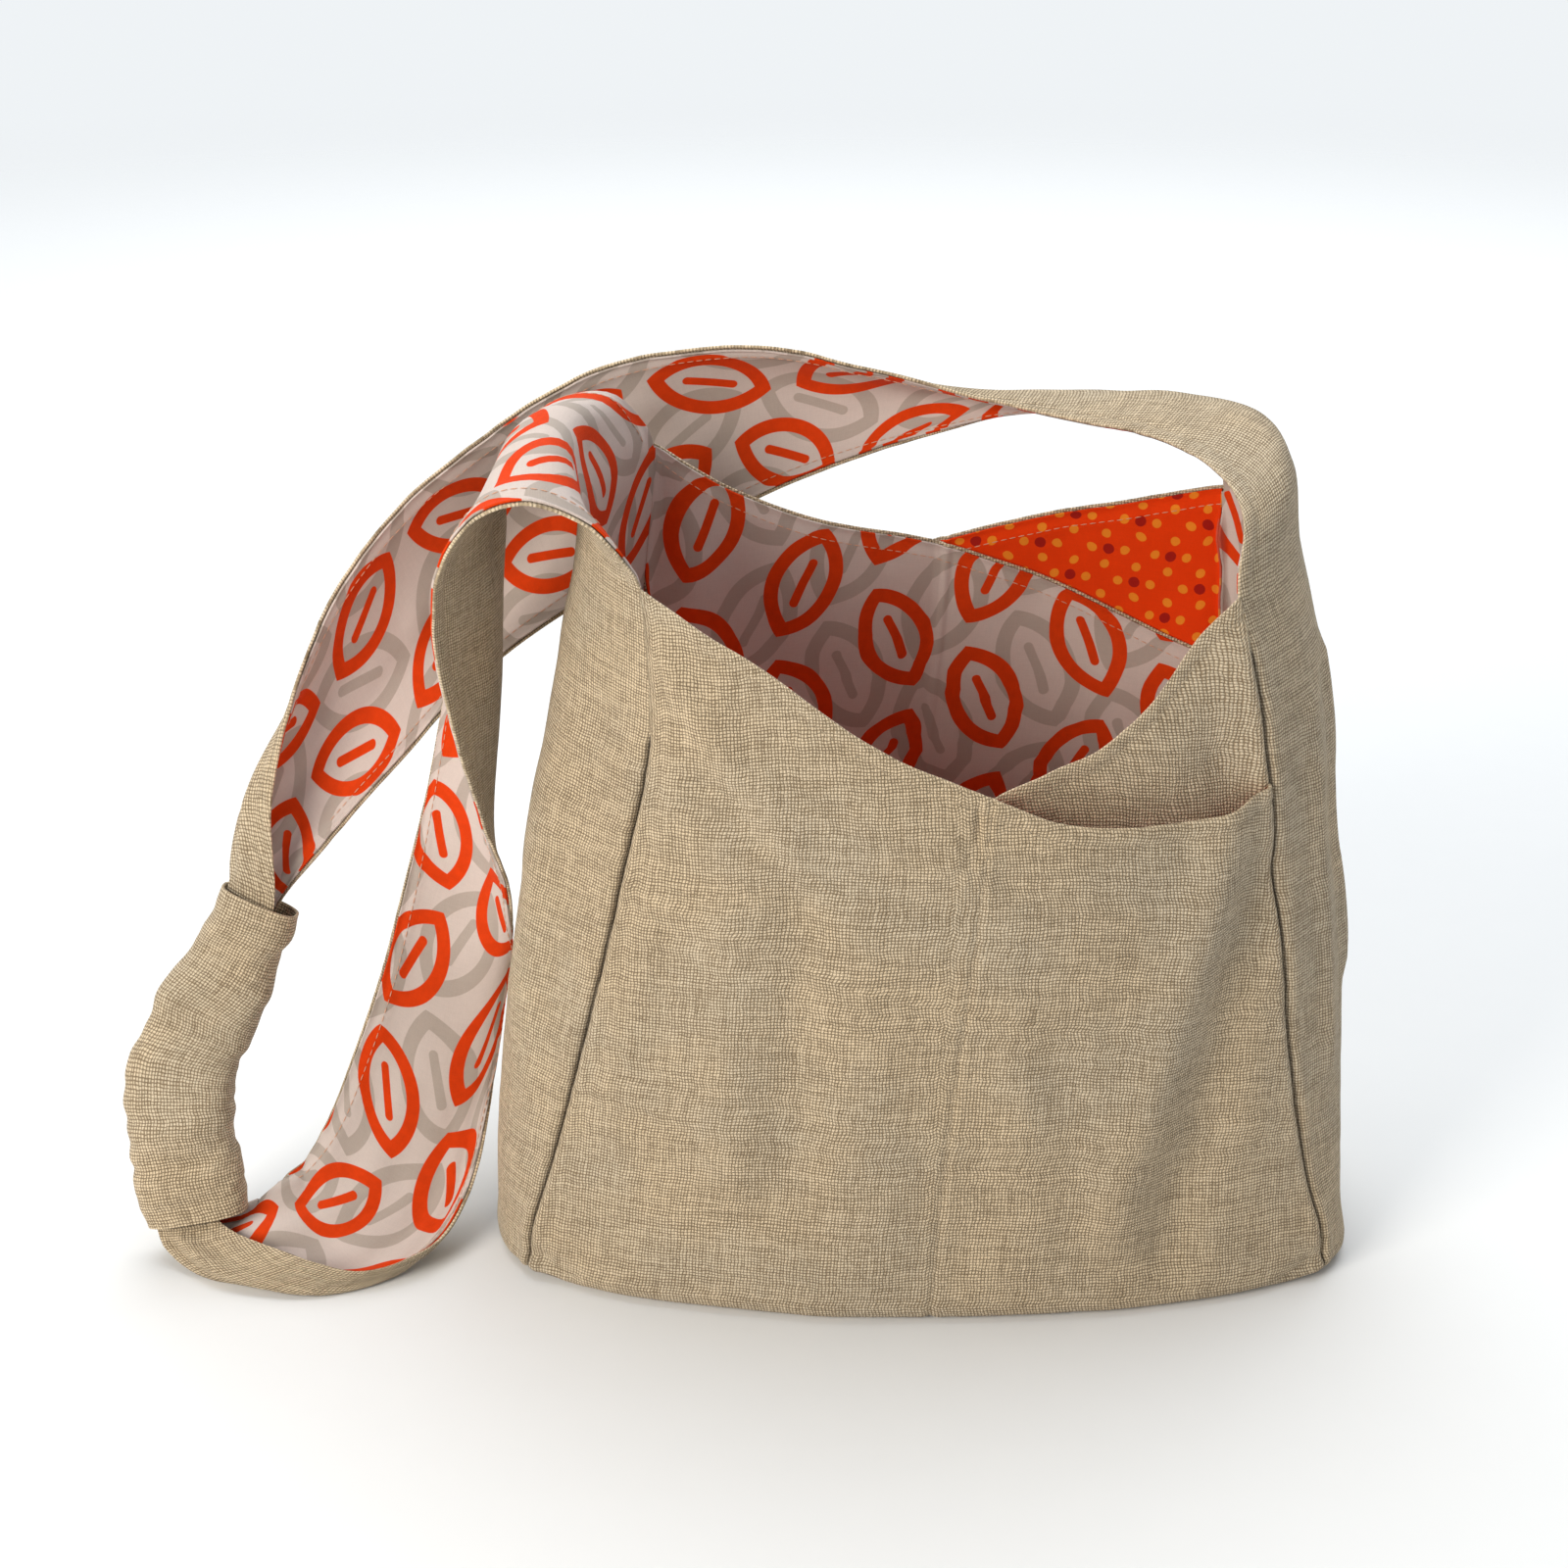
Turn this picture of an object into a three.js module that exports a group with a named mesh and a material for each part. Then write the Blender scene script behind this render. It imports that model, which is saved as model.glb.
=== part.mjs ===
// A slouching shoulder bag of two interlocking cloth slings on a boxed bottom.
// Origin: centre of the base on the floor. +X right, +Y back, +Z up. Lengths in millimetres.
import * as THREE from "three";

// Driving sizes
const bagLength = 342;        // between the left and right bottom corners
const bagDepth = 120;         // between the front and back bottom corners
const seamHeight = 320;       // floor to where a side panel turns into its strap
const bottomRound = 8;        // radius of the rounded bottom edge
const linenWall = 1.2;
const liningWall = 1.0;
const clothGap = 0.3;         // clearance between neighbouring layers of cloth
const seamGap = 0.5;          // clearance between two panels at a corner seam
const sleeveGap = 1.05;       // clearance between the sleeve and the straps inside it
const pocketSlack = 1.2;      // room inside a closed pocket, none at its seams
const pocketGape = 12;        // how far a pocket's mouth stands open
const gapeStart = 0.3;        // share of the mouth's height at which the gape begins
const sleeveWidth = 44;       // shoulder sleeve, across the strap
const sleeveThickness = 24;   // shoulder sleeve, through the folded strap
const gatherDepth = 1.5;      // depth of the gathers beside the sleeve
const strapJoin = 0.01;       // share of the sleeve's length between its middle and a strap's end
const strapLead = 1 / 6;      // share of seamHeight over which a strap's lines start in its side panel

const halfLength = bagLength / 2;
const halfDepth = bagDepth / 2;

// Depths of the cloth layers below the bag's outer face
const liningStart = linenWall + clothGap;
const innerStart = liningStart + liningWall + clothGap;
const innerLiningStart = innerStart + liningStart;

// Rows of a short table as objects, with the names of its columns in order
function table(names, rows) {
  const columns = names.split(" ");
  return rows.map((row) => Object.fromEntries(columns.map((column, k) => [column, row[k]])));
}

// Corner lines of the body, bottom to top. up is a share of seamHeight, x of halfLength.
const bodyRows = table("up xLeftFront xLeftRear xRightFront xRightRear", [
  [0.00,  -1.06, -1.04, 1.06, 1.04],
  [0.16,  -0.96, -0.96, 0.96, 0.96],
  [0.37,  -0.85, -0.88, 0.88, 0.88],
  [0.61, -0.745, -0.81, 0.82, 0.82],
  [0.81,  -0.67, -0.74, 0.76, 0.79],
  [1.00,  -0.69, -0.70, 0.66, 0.76],
  [1.08,  -0.73, -0.70, 0.64, 0.75],
]);

// Front and back planes, middles of the sides, and bulges of the front and back. x shares are
// of halfLength; y shares, front and rear are of halfDepth.
const bulgeRows = table("up yFront yRear xLeft yLeft xRight yRight front rear", [
  [0.00, -1.10, 1.06, -1.12, -0.30, 1.12, -0.30, 0.55, 0.47],
  [0.16, -1.02, 1.03, -1.10, -0.30, 1.11, -0.28, 0.56, 0.47],
  [0.37, -1.00, 1.06, -1.06, -0.28, 1.09, -0.20, 0.52, 0.45],
  [0.61, -1.00, 1.12, -0.99, -0.22, 1.04, -0.10, 0.47, 0.40],
  [0.81, -1.00, 1.20, -0.91, -0.12, 0.99,  0.04, 0.42, 0.32],
  [1.00, -1.00, 1.26, -0.86, -0.04, 0.91,  0.20, 0.30, 0.22],
  [1.08, -1.00, 1.28, -0.85,  0.00, 0.88,  0.28, 0.25, 0.18],
]);
const bulgeFlatness = 2.4;    // power of the front and back bulge, above 2 for a flatter middle

// Top edges of the panels: across is 0 at the left seam and 1 at the right, up as above.
const frontOuterEdge = table("across up", [
  [0.00, 0.985], [0.10, 0.94], [0.19, 0.90], [0.36, 0.81], [0.55, 0.745], [0.66, 0.71],
  [0.76, 0.70], [0.90, 0.705], [1.00, 0.73],
]);
const frontInnerEdge = table("across up", [
  [0.00, 0.56], [0.30, 0.63], [0.55, 0.735], [0.64, 0.76], [0.74, 0.79], [0.84, 0.85],
  [0.93, 0.925], [1.00, 0.975],
]);
const backInnerEdge = table("across up", [
  [0.00, 1.05], [0.04, 1.03], [0.13, 0.99], [0.27, 0.95], [0.52, 0.895], [0.70, 0.845],
  [0.86, 0.785], [1.00, 0.74],
]);
const backOuterEdge = table("across up", [
  [0.00, 0.87], [0.20, 0.85], [0.40, 0.87], [0.52, 0.90], [0.71, 0.94], [0.84, 0.96],
  [1.00, 0.99],
]);

// Straps, from the top of the side panel to the sleeve: front edge F, middle M, rear edge R.
// x shares are of halfLength, y shares of halfDepth, z shares of seamHeight; fold turns the
// section from an open bow (0) into a folded channel (1), and gather is a share of gatherDepth.
const leftStrapRows = table("xF yF zF xM yM zM xR yR zR fold gather", [
  [-0.74, -1.01,  1.03, -0.86,  0.02, 1.075, -0.72,  1.18,  1.08,   0,   0],
  [-0.82, -1.00,  1.07, -0.88,  0.06, 1.115, -0.78,  1.05,  1.12,   0,   0],
  [-0.93, -0.97,  1.09, -0.94,  0.12,  1.12, -0.87,  1.00, 1.125,   0,   0],
  [-1.04, -0.92, 1.075, -1.01,  0.18, 1.095, -0.96,  0.95,  1.10,   0,   0],
  [-1.14, -0.85,  1.01, -1.05,  0.22,  1.02, -1.05,  0.94,  1.03,   0,   0],
  [-1.17, -0.75,  0.91, -1.05,  0.24,  0.90, -1.13,  0.93,  0.90,   0,   0],
  [-1.14, -0.55,  0.75, -1.07,  0.28,  0.74, -1.22,  0.87,  0.74,   0,   0],
  [-1.09, -0.20,  0.59, -1.11,  0.36, 0.575, -1.29,  0.68,  0.58,   0,   0],
  [-1.06,  0.16,  0.45, -1.14,  0.44,  0.42, -1.35,  0.50,  0.46,   0,   0],
  [-1.09,  0.46,  0.32, -1.20,  0.34,  0.26, -1.42,  0.30,  0.33,   0,   0],
  [-1.13,  0.30,  0.18, -1.26,  0.00, 0.125, -1.50,  0.08, 0.215, 0.1,   0],
  [-1.16, -0.25, 0.085, -1.33, -0.50, 0.035, -1.56, -0.12,  0.14, 0.3,   0],
  [-1.24, -0.92,  0.04, -1.46, -0.96, 0.008, -1.62, -0.28,  0.09, 0.5,   0],
  [-1.42, -1.22, 0.025, -1.65, -1.14, 0.008, -1.66, -0.42,  0.08, 0.6, 0.1],
  [-1.61, -1.16,  0.05, -1.86, -1.02, 0.015, -1.69, -0.55, 0.065, 0.8, 0.3],
]);
const rightStrapRows = table("xF yF zF xM yM zM xR yR zR fold gather", [
  [ 0.70, -0.55,  1.05, 0.885, 0.36,  1.08,  0.75, 1.38, 1.025,   0,   0],
  [ 0.66,  0.00,  1.08,  0.83, 0.82, 1.125,  0.66, 1.55, 1.055,   0,   0],
  [ 0.53,  0.56, 1.095,  0.64, 1.18, 1.125,  0.48, 1.66,  1.07,   0,   0],
  [ 0.35,  1.02, 1.095,  0.40, 1.52,  1.11,  0.26, 1.72, 1.065,   0,   0],
  [ 0.12,  1.40, 1.105,  0.15, 1.76,  1.09,  0.05, 1.74, 1.035,   0,   0],
  [-0.15,  1.63, 1.135, -0.13, 1.93,  1.08, -0.16, 1.75,  1.00,   0,   0],
  [-0.47,  1.78, 1.155, -0.44, 2.02,  1.06, -0.42, 1.76,  0.94,   0,   0],
  [-0.82,  1.73,  1.13, -0.75, 1.96,  1.00, -0.67, 1.68, 0.865,   0,   0],
  [-1.12,  1.47,  1.05, -1.04, 1.72,  0.91, -0.93, 1.46,  0.79,   0,   0],
  [-1.36,  1.13, 0.955, -1.27, 1.36,  0.82, -1.17, 1.12,  0.71,   0,   0],
  [-1.52,  0.80, 0.845, -1.46, 1.02,  0.73, -1.36, 0.74, 0.615, 0.1, 0.2],
  [-1.61,  0.48,  0.72, -1.62, 0.74,  0.64, -1.49, 0.46,  0.55, 0.4, 0.6],
  [-1.66,  0.18,  0.60, -1.74, 0.46,  0.56, -1.57, 0.28, 0.505, 0.8,   1],
]);

// Middle line of the shoulder sleeve from its upper mouth to its lower one. x, y and z shares
// as above; width is a share of sleeveWidth. Its first and last rows are the two mouths.
const sleeveRows = table("down x y z width", [
  [0.00,  -1.70,  0.10, 0.465, 0.80],
  [0.17,  -1.76,  0.00, 0.395, 0.86],
  [0.33,  -1.85, -0.18, 0.315, 1.00],
  [0.50,  -1.90, -0.38,  0.25, 1.04],
  [0.67, -1.905, -0.54,  0.18, 1.04],
  [0.83,  -1.89, -0.64, 0.115, 1.02],
  [1.00,  -1.87, -0.72, 0.055, 1.00],
]);

// Shares of the way down the sleeve at which each strap has a folded section, mouth first
const leftSleeveShares = [1, 0.83, 0.67, 0.5 + strapJoin];
const rightSleeveShares = [0, 0.17, 0.33, 0.5 - strapJoin];

// Mesh counts
const panelColumns = 10;
const lowerRows = 3;
const upperRows = 3;
const roundRows = 3;
const sharedRise = 0.5;       // share of seamHeight up to which all panels share their rows
const sideColumns = 7;
const strapColumns = 10;
const strapSteps = 2;         // steps between two strap rows
const sleeveSides = 16;
const sleeveSteps = 1;        // steps between two sleeve rows

// Forms of the sections
const gatherWaves = 2;        // gathers across a strap
const sleeveRoundness = 0.7;  // power of its section, 1 for an ellipse and less for a fuller one
const foldedSpread = 0.8;     // shares of the room inside the sleeve that the folded straps take
const foldedMouth = 0.5;

const linen = { color: 0xb3a58d, roughness: 0.95, metalness: 0 };
const print = { color: 0xe6dcd6, roughness: 0.9, metalness: 0 };
const dots = { color: 0xe8541a, roughness: 0.9, metalness: 0 };

const group = new THREE.Group();

// Smooth value of one column of a table at a share between its rows, by a Hermite curve
// whose slope at each row is that of the line between the rows on either side.
function smooth(rows, key, name, at) {
  const last = rows.length - 1;
  let row = 0;
  while (row < last - 1 && at > rows[row + 1][key]) row += 1;
  const slope = (index) => {
    const below = rows[Math.max(index - 1, 0)];
    const above = rows[Math.min(index + 1, last)];
    return (above[name] - below[name]) / (above[key] - below[key]);
  };
  const span = rows[row + 1][key] - rows[row][key];
  const t = (at - rows[row][key]) / span;
  const h = t * t * (3 - 2 * t);
  return rows[row][name] * (1 - h) + rows[row + 1][name] * h
    + span * t * (1 - t) * ((1 - t) * slope(row) - t * slope(row + 1));
}

// Step from 0 to 1 with level ends
function ease(from, to, value) {
  const t = THREE.MathUtils.clamp((value - from) / (to - from), 0, 1);
  return t * t * (3 - 2 * t);
}

// How far the rounded bottom edge draws the wall in at a height above the floor
function drawIn(height) {
  const below = Math.max(bottomRound - height, 0);
  return bottomRound - Math.sqrt(bottomRound ** 2 - below ** 2);
}

// A corner line of the body: side is left or right, face is Front or Rear
function corner(side, face, height) {
  const up = height / seamHeight;
  const out = side === "Left" ? -1 : 1;
  const x = halfLength * smooth(bodyRows, "up", `x${side}${face}`, up) - out * drawIn(height);
  const back = face === "Front" ? -1 : 1;
  const y = halfDepth * smooth(bulgeRows, "up", `y${face}`, up) - back * drawIn(height);
  return new THREE.Vector3(x, y, height);
}

// Outer face of the front or back: straight between its corner lines, plus the bulge
function facePoint(face, across, height) {
  const point = corner("Left", face, height).lerp(corner("Right", face, height), across);
  const share = smooth(bulgeRows, "up", face.toLowerCase(), height / seamHeight);
  const bulge = halfDepth * share * (1 - Math.abs(2 * across - 1) ** bulgeFlatness);
  point.y += face === "Front" ? -bulge : bulge;
  return point;
}

// A bowed section through a front, a middle and a rear point. Across runs from 0 to 1.
function section(front, middle, rear, fold, across) {
  const angle = (across - 0.5) * Math.PI;
  const along = THREE.MathUtils.lerp(2 * across - 1, Math.sin(angle), fold);
  const centre = front.clone().add(rear).multiplyScalar(0.5);
  const half = rear.clone().sub(front).multiplyScalar(0.5);
  const depth = middle.clone().sub(centre);
  return centre.addScaledVector(depth, Math.cos(angle)).addScaledVector(half, along);
}

// Outer face of a side panel, across from its front corner to its rear corner
function sidePoint(side, across, height) {
  const up = height / seamHeight;
  const out = side === "Left" ? -1 : 1;
  const middle = new THREE.Vector3(
    halfLength * smooth(bulgeRows, "up", `x${side}`, up) - out * drawIn(height),
    halfDepth * smooth(bulgeRows, "up", `y${side}`, up),
    height,
  );
  return section(corner(side, "Front", height), middle, corner(side, "Rear", height), 0, across);
}

// Heights of a panel's rows: a few round the bottom edge, then the same levels in every panel
// up to a shared height, so that seams meet, then even ones up to the panel's own top
function rowHeights(top) {
  const heights = [];
  const shared = sharedRise * seamHeight;
  for (let i = 0; i < roundRows; i += 1) {
    heights.push(bottomRound * (1 - Math.cos((i / roundRows) * Math.PI / 2)));
  }
  for (let i = 0; i < lowerRows; i += 1) {
    heights.push(THREE.MathUtils.lerp(bottomRound, shared, i / lowerRows));
  }
  for (let i = 0; i <= upperRows; i += 1) {
    heights.push(THREE.MathUtils.lerp(shared, top, i / upperRows));
  }
  return heights;
}

// Unit vectors into the cloth at each point of a grid, from the grid's own slopes
function inwardVectors(grid, towards) {
  const rows = grid.length;
  const columns = grid[0].length;
  return grid.map((row, i) => row.map((point, j) => {
    const across = row[Math.min(j + 1, columns - 1)].clone().sub(row[Math.max(j - 1, 0)]);
    const along = grid[Math.min(i + 1, rows - 1)][j].clone().sub(grid[Math.max(i - 1, 0)][j]);
    return across.cross(along).normalize().multiplyScalar(towards);
  }));
}

// Vector into the body on a corner line that keeps each cloth layer's depth on both sides
function mitre(side, face, height) {
  const rise = Math.max(height, 1);
  const step = 0.03;          // share of a wall's length over which its slope is taken
  const atFace = side === "Left" ? [0, step] : [1, 1 - step];
  const atSide = face === "Front" ? [0, step] : [1, 1 - step];
  const start = corner(side, face, rise);
  const upward = corner(side, face, rise + 1).sub(start);
  const alongFace = facePoint(face, atFace[1], rise).sub(facePoint(face, atFace[0], rise));
  const alongSide = sidePoint(side, atSide[1], rise).sub(sidePoint(side, atSide[0], rise));
  const inside = new THREE.Vector3(-start.x, -start.y, 0);
  const normals = [alongFace, alongSide].map((edge) => {
    const normal = edge.cross(upward).normalize();
    return normal.dot(inside) < 0 ? normal.negate() : normal;
  });
  return normals[0].clone().add(normals[1]).divideScalar(1 + normals[0].dot(normals[1]));
}

// Vectors into the body for a panel's grid: straight up under the rounded bottom edge, and
// mitred at the two seams, each named by the side and the face of its corner line
function panelVectors(grid, towards, seams) {
  const vectors = inwardVectors(grid, towards);
  grid.forEach((row, i) => {
    vectors[i][0] = mitre(...seams[0], row[0].z);
    vectors[i][row.length - 1] = mitre(...seams[1], row[row.length - 1].z);
  });
  vectors[0] = vectors[0].map(() => new THREE.Vector3(0, 0, 1));
  return vectors;
}

// Grid of the front or back panel below a top edge given by a table
function facePanel(face, edge) {
  const inset = seamGap / 2 / bagLength;
  const columns = [];
  for (let j = 0; j <= panelColumns; j += 1) {
    const across = THREE.MathUtils.lerp(inset, 1 - inset, j / panelColumns);
    const top = seamHeight * smooth(edge, "across", "up", across);
    columns.push(rowHeights(top).map((height) => facePoint(face, across, height)));
  }
  const grid = columns[0].map((_, i) => columns.map((column) => column[i]));
  const vectors = panelVectors(grid, face === "Front" ? -1 : 1, [["Left", face], ["Right", face]]);
  return { grid, vectors };
}

// Height of a side panel's top edge
function sideTop(side, across) {
  const front = side === "Left" ? frontOuterEdge[0].up : frontInnerEdge.at(-1).up;
  const rear = side === "Left" ? backInnerEdge[0].up : backOuterEdge.at(-1).up;
  return seamHeight * THREE.MathUtils.lerp(front, rear, across);
}

// Grid of a side panel
function sidePanel(side) {
  const inset = seamGap / 2 / bagDepth;
  const columns = [];
  for (let j = 0; j <= sideColumns; j += 1) {
    const across = THREE.MathUtils.lerp(inset, 1 - inset, j / sideColumns);
    const heights = rowHeights(sideTop(side, across) - seamGap / 2);
    columns.push(heights.map((height) => sidePoint(side, across, height)));
  }
  const grid = columns[0].map((_, i) => columns.map((column) => column[i]));
  const vectors = panelVectors(grid, side === "Left" ? 1 : -1, [[side, "Front"], [side, "Rear"]]);
  return { grid, vectors };
}

// Middle point and the two section axes of the sleeve at a share of its way down
function sleeveFrame(down) {
  const at = (share) => new THREE.Vector3(
    halfLength * smooth(sleeveRows, "down", "x", share),
    halfDepth * smooth(sleeveRows, "down", "y", share),
    seamHeight * smooth(sleeveRows, "down", "z", share),
  );
  const step = 0.01;          // share of the way down over which its direction is taken
  const centre = at(down);
  const way = at(down + step).sub(at(down - step)).normalize();
  const wide = new THREE.Vector3(1, 0, 0).addScaledVector(way, -way.x).normalize();
  const deep = wide.clone().cross(way).normalize();
  return { centre, wide, deep, width: sleeveWidth * smooth(sleeveRows, "down", "width", down) };
}

// The folded strap inside the sleeve: a channel with its mouth to the right
function foldedSection(down) {
  const { centre, wide, deep, width } = sleeveFrame(down);
  const reach = width / 2 - linenWall - sleeveGap;
  const spread = foldedSpread * (sleeveThickness / 2 - linenWall - sleeveGap);
  const mouth = centre.clone().addScaledVector(wide, foldedMouth * reach);
  const front = mouth.clone().addScaledVector(deep, -spread);
  const rear = mouth.clone().addScaledVector(deep, spread);
  const middle = centre.clone().addScaledVector(wide, -reach);
  return (across) => section(front, middle, rear, 1, across);
}

// An open section of a strap from one row of its table
function strapSection(row) {
  const point = (letter) => new THREE.Vector3(
    halfLength * row[`x${letter}`],
    halfDepth * row[`y${letter}`],
    seamHeight * row[`z${letter}`],
  );
  return (across) => section(point("F"), point("M"), point("R"), row.fold, across);
}

// Grid of a strap: smooth lines through its sections, with gathers beside the sleeve, and
// flattened where it lies on the floor
function strapGrid(side, rows, sleeveShares) {
  const sideSection = (below) => (across) => (
    sidePoint(side, across, sideTop(side, across) - below)
  );
  const sections = [
    sideSection(strapLead * seamHeight),
    sideSection(-seamGap / 2),
    ...rows.map(strapSection),
    ...sleeveShares.map(foldedSection),
  ];
  const gathers = [0, 0, ...rows.map((row) => row.gather), ...sleeveShares.map(() => 0)];
  const columns = [];
  for (let j = 0; j <= strapColumns; j += 1) {
    const across = j / strapColumns;
    const line = new THREE.CatmullRomCurve3(sections.map((at) => at(across)), false, "centripetal");
    const points = [];
    for (let k = 0; k <= (sections.length - 1) * strapSteps; k += 1) {
      points.push(line.getPoint(k / strapSteps / (sections.length - 1)));
    }
    columns.push(points);
  }
  const grid = columns[0].map((_, i) => columns.map((column) => column[i]));
  const smoothVectors = inwardVectors(grid, side === "Left" ? 1 : -1);
  grid.forEach((row, i) => row.forEach((point, j) => {
    const place = i / strapSteps;
    const before = Math.floor(place);
    const after = Math.min(before + 1, gathers.length - 1);
    const gather = THREE.MathUtils.lerp(gathers[before], gathers[after], place - before);
    const wave = Math.sin(2 * Math.PI * gatherWaves * j / strapColumns);
    point.addScaledVector(smoothVectors[i][j], gather * gatherDepth * wave);
    point.z = Math.max(point.z, 0);
  }));
  const vectors = inwardVectors(grid, side === "Left" ? 1 : -1);
  return { grid: grid.slice(strapSteps), vectors: vectors.slice(strapSteps) };
}

// A closed body between two grids of the same size. A tube's last column joins its first.
function closedBody(name, look, outer, inner, isTube = false) {
  const rows = outer.length;
  const columns = outer[0].length;
  const positions = [...outer.flat(), ...inner.flat()].flatMap((point) => point.toArray());
  const index = (layer, i, j) => (layer * rows + i) * columns + (j % columns);
  const faces = [];
  const quad = (a, b, c, d) => faces.push(a, b, c, a, c, d);
  const cells = isTube ? columns : columns - 1;
  for (let i = 0; i < rows - 1; i += 1) {
    for (let j = 0; j < cells; j += 1) {
      quad(index(0, i, j), index(0, i, j + 1), index(0, i + 1, j + 1), index(0, i + 1, j));
      quad(index(1, i, j), index(1, i + 1, j), index(1, i + 1, j + 1), index(1, i, j + 1));
    }
  }
  for (let j = 0; j < cells; j += 1) {
    const top = rows - 1;
    quad(index(0, 0, j), index(1, 0, j), index(1, 0, j + 1), index(0, 0, j + 1));
    quad(index(0, top, j), index(0, top, j + 1), index(1, top, j + 1), index(1, top, j));
  }
  for (let i = 0; i < rows - 1 && !isTube; i += 1) {
    const end = columns - 1;
    quad(index(0, i, 0), index(0, i + 1, 0), index(1, i + 1, 0), index(1, i, 0));
    quad(index(0, i, end), index(1, i, end), index(1, i + 1, end), index(0, i + 1, end));
  }
  const geometry = new THREE.BufferGeometry();
  geometry.setAttribute("position", new THREE.Float32BufferAttribute(positions, 3));
  geometry.setIndex(volume(positions, faces) < 0 ? faces.reverse() : faces);
  addMesh(name, look, geometry);
}

// Signed volume of a closed set of triangles
function volume(positions, faces) {
  const corners = [0, 1, 2].map(() => new THREE.Vector3());
  let sum = 0;
  for (let k = 0; k < faces.length; k += 3) {
    corners.forEach((corner, n) => corner.fromArray(positions, 3 * faces[k + n]));
    sum += corners[0].dot(corners[1].cross(corners[2])) / 6;
  }
  return sum;
}

// One named piece with its own material
function addMesh(name, look, geometry) {
  geometry.computeVertexNormals();
  const mesh = new THREE.Mesh(geometry, new THREE.MeshStandardMaterial(look));
  mesh.name = name;
  group.add(mesh);
}

// A layer of cloth that follows a surface from one depth below it to another
function addCloth(name, look, surface, start, wall) {
  const depthAt = (i, j) => (typeof start === "number" ? start : start(surface, i, j));
  const layer = (extra) => surface.grid.map((row, i) => row.map((point, j) => (
    point.clone().addScaledVector(surface.vectors[i][j], depthAt(i, j) + extra)
  )));
  closedBody(name, look, layer(0), layer(wall));
}

// Depth of an inner panel, which stands away from the pocket's mouth at one end
function behindPocket(start, end, mouthEdge) {
  return (surface, i, j) => {
    const across = j / (surface.grid[i].length - 1);
    const fromSeam = end === "Right" ? 1 - across : across;
    const spread = Math.sin(Math.PI * THREE.MathUtils.clamp(2 * fromSeam, 0, 1));
    const mouth = seamHeight * smooth(mouthEdge, "across", "up", across);
    const gape = pocketGape * spread * ease(gapeStart, 1, surface.grid[i][j].z / mouth);
    return start + pocketSlack * Math.sin(Math.PI * across) + gape;
  };
}

// Outline of the base between the rounded bottom edges, as a flat plate of cloth
function addBase(name, look, bottom, wall) {
  const outline = [];
  const put = (point, x, y) => outline.push(new THREE.Vector2(point.x + x, point.y + y));
  for (let j = 0; j <= panelColumns; j += 1) {
    put(facePoint("Front", j / panelColumns, 0), 0, clothGap);
  }
  for (let j = 1; j < sideColumns; j += 1) put(sidePoint("Right", j / sideColumns, 0), -clothGap, 0);
  for (let j = panelColumns; j >= 0; j -= 1) {
    put(facePoint("Rear", j / panelColumns, 0), 0, -clothGap);
  }
  for (let j = sideColumns - 1; j > 0; j -= 1) put(sidePoint("Left", j / sideColumns, 0), clothGap, 0);
  const shape = new THREE.Shape(outline);
  const plate = new THREE.ExtrudeGeometry(shape, { depth: wall, bevelEnabled: false });
  plate.translate(0, 0, bottom);
  addMesh(name, look, plate);
}

// The sleeve: a flattened tube round the folded ends of both straps
function addSleeve(name, look) {
  const rows = (sleeveRows.length - 1) * sleeveSteps;
  const layer = (inset) => {
    const grid = [];
    for (let i = 0; i <= rows; i += 1) {
      const { centre, wide, deep, width } = sleeveFrame(i / rows);
      const ring = [];
      for (let j = 0; j < sleeveSides; j += 1) {
        const angle = (2 * Math.PI * j) / sleeveSides;
        const round = (value) => Math.sign(value) * Math.abs(value) ** sleeveRoundness;
        ring.push(centre.clone()
          .addScaledVector(wide, (width / 2 - inset) * round(Math.cos(angle)))
          .addScaledVector(deep, (sleeveThickness / 2 - inset) * round(Math.sin(angle))));
      }
      grid.push(ring);
    }
    return grid;
  };
  closedBody(name, look, layer(0), layer(linenWall), true);
}

const frontOuter = facePanel("Front", frontOuterEdge);
const frontInner = facePanel("Front", frontInnerEdge);
const backOuter = facePanel("Rear", backOuterEdge);
const backInner = facePanel("Rear", backInnerEdge);
const leftSide = sidePanel("Left");
const rightSide = sidePanel("Right");

addCloth("front_outer_panel", linen, frontOuter, 0, linenWall);
addCloth("front_pocket_lining", dots, frontOuter, liningStart, liningWall);
addCloth("front_inner_panel", linen, frontInner,
  behindPocket(innerStart, "Right", frontOuterEdge), linenWall);
addCloth("front_inner_lining", print, frontInner,
  behindPocket(innerLiningStart, "Right", frontOuterEdge), liningWall);
addCloth("back_outer_panel", linen, backOuter, 0, linenWall);
addCloth("back_pocket_lining", dots, backOuter, liningStart, liningWall);
addCloth("back_inner_panel", linen, backInner,
  behindPocket(innerStart, "Left", backOuterEdge), linenWall);
addCloth("back_inner_lining", print, backInner,
  behindPocket(innerLiningStart, "Left", backOuterEdge), liningWall);
addCloth("left_side_panel", linen, leftSide, 0, linenWall);
addCloth("left_side_lining", print, leftSide, liningStart, liningWall);
addCloth("right_side_panel", linen, rightSide, 0, linenWall);
addCloth("right_side_lining", print, rightSide, liningStart, liningWall);
addBase("base_panel", linen, 0, linenWall);
addBase("base_lining", print, liningStart, liningWall);

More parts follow.
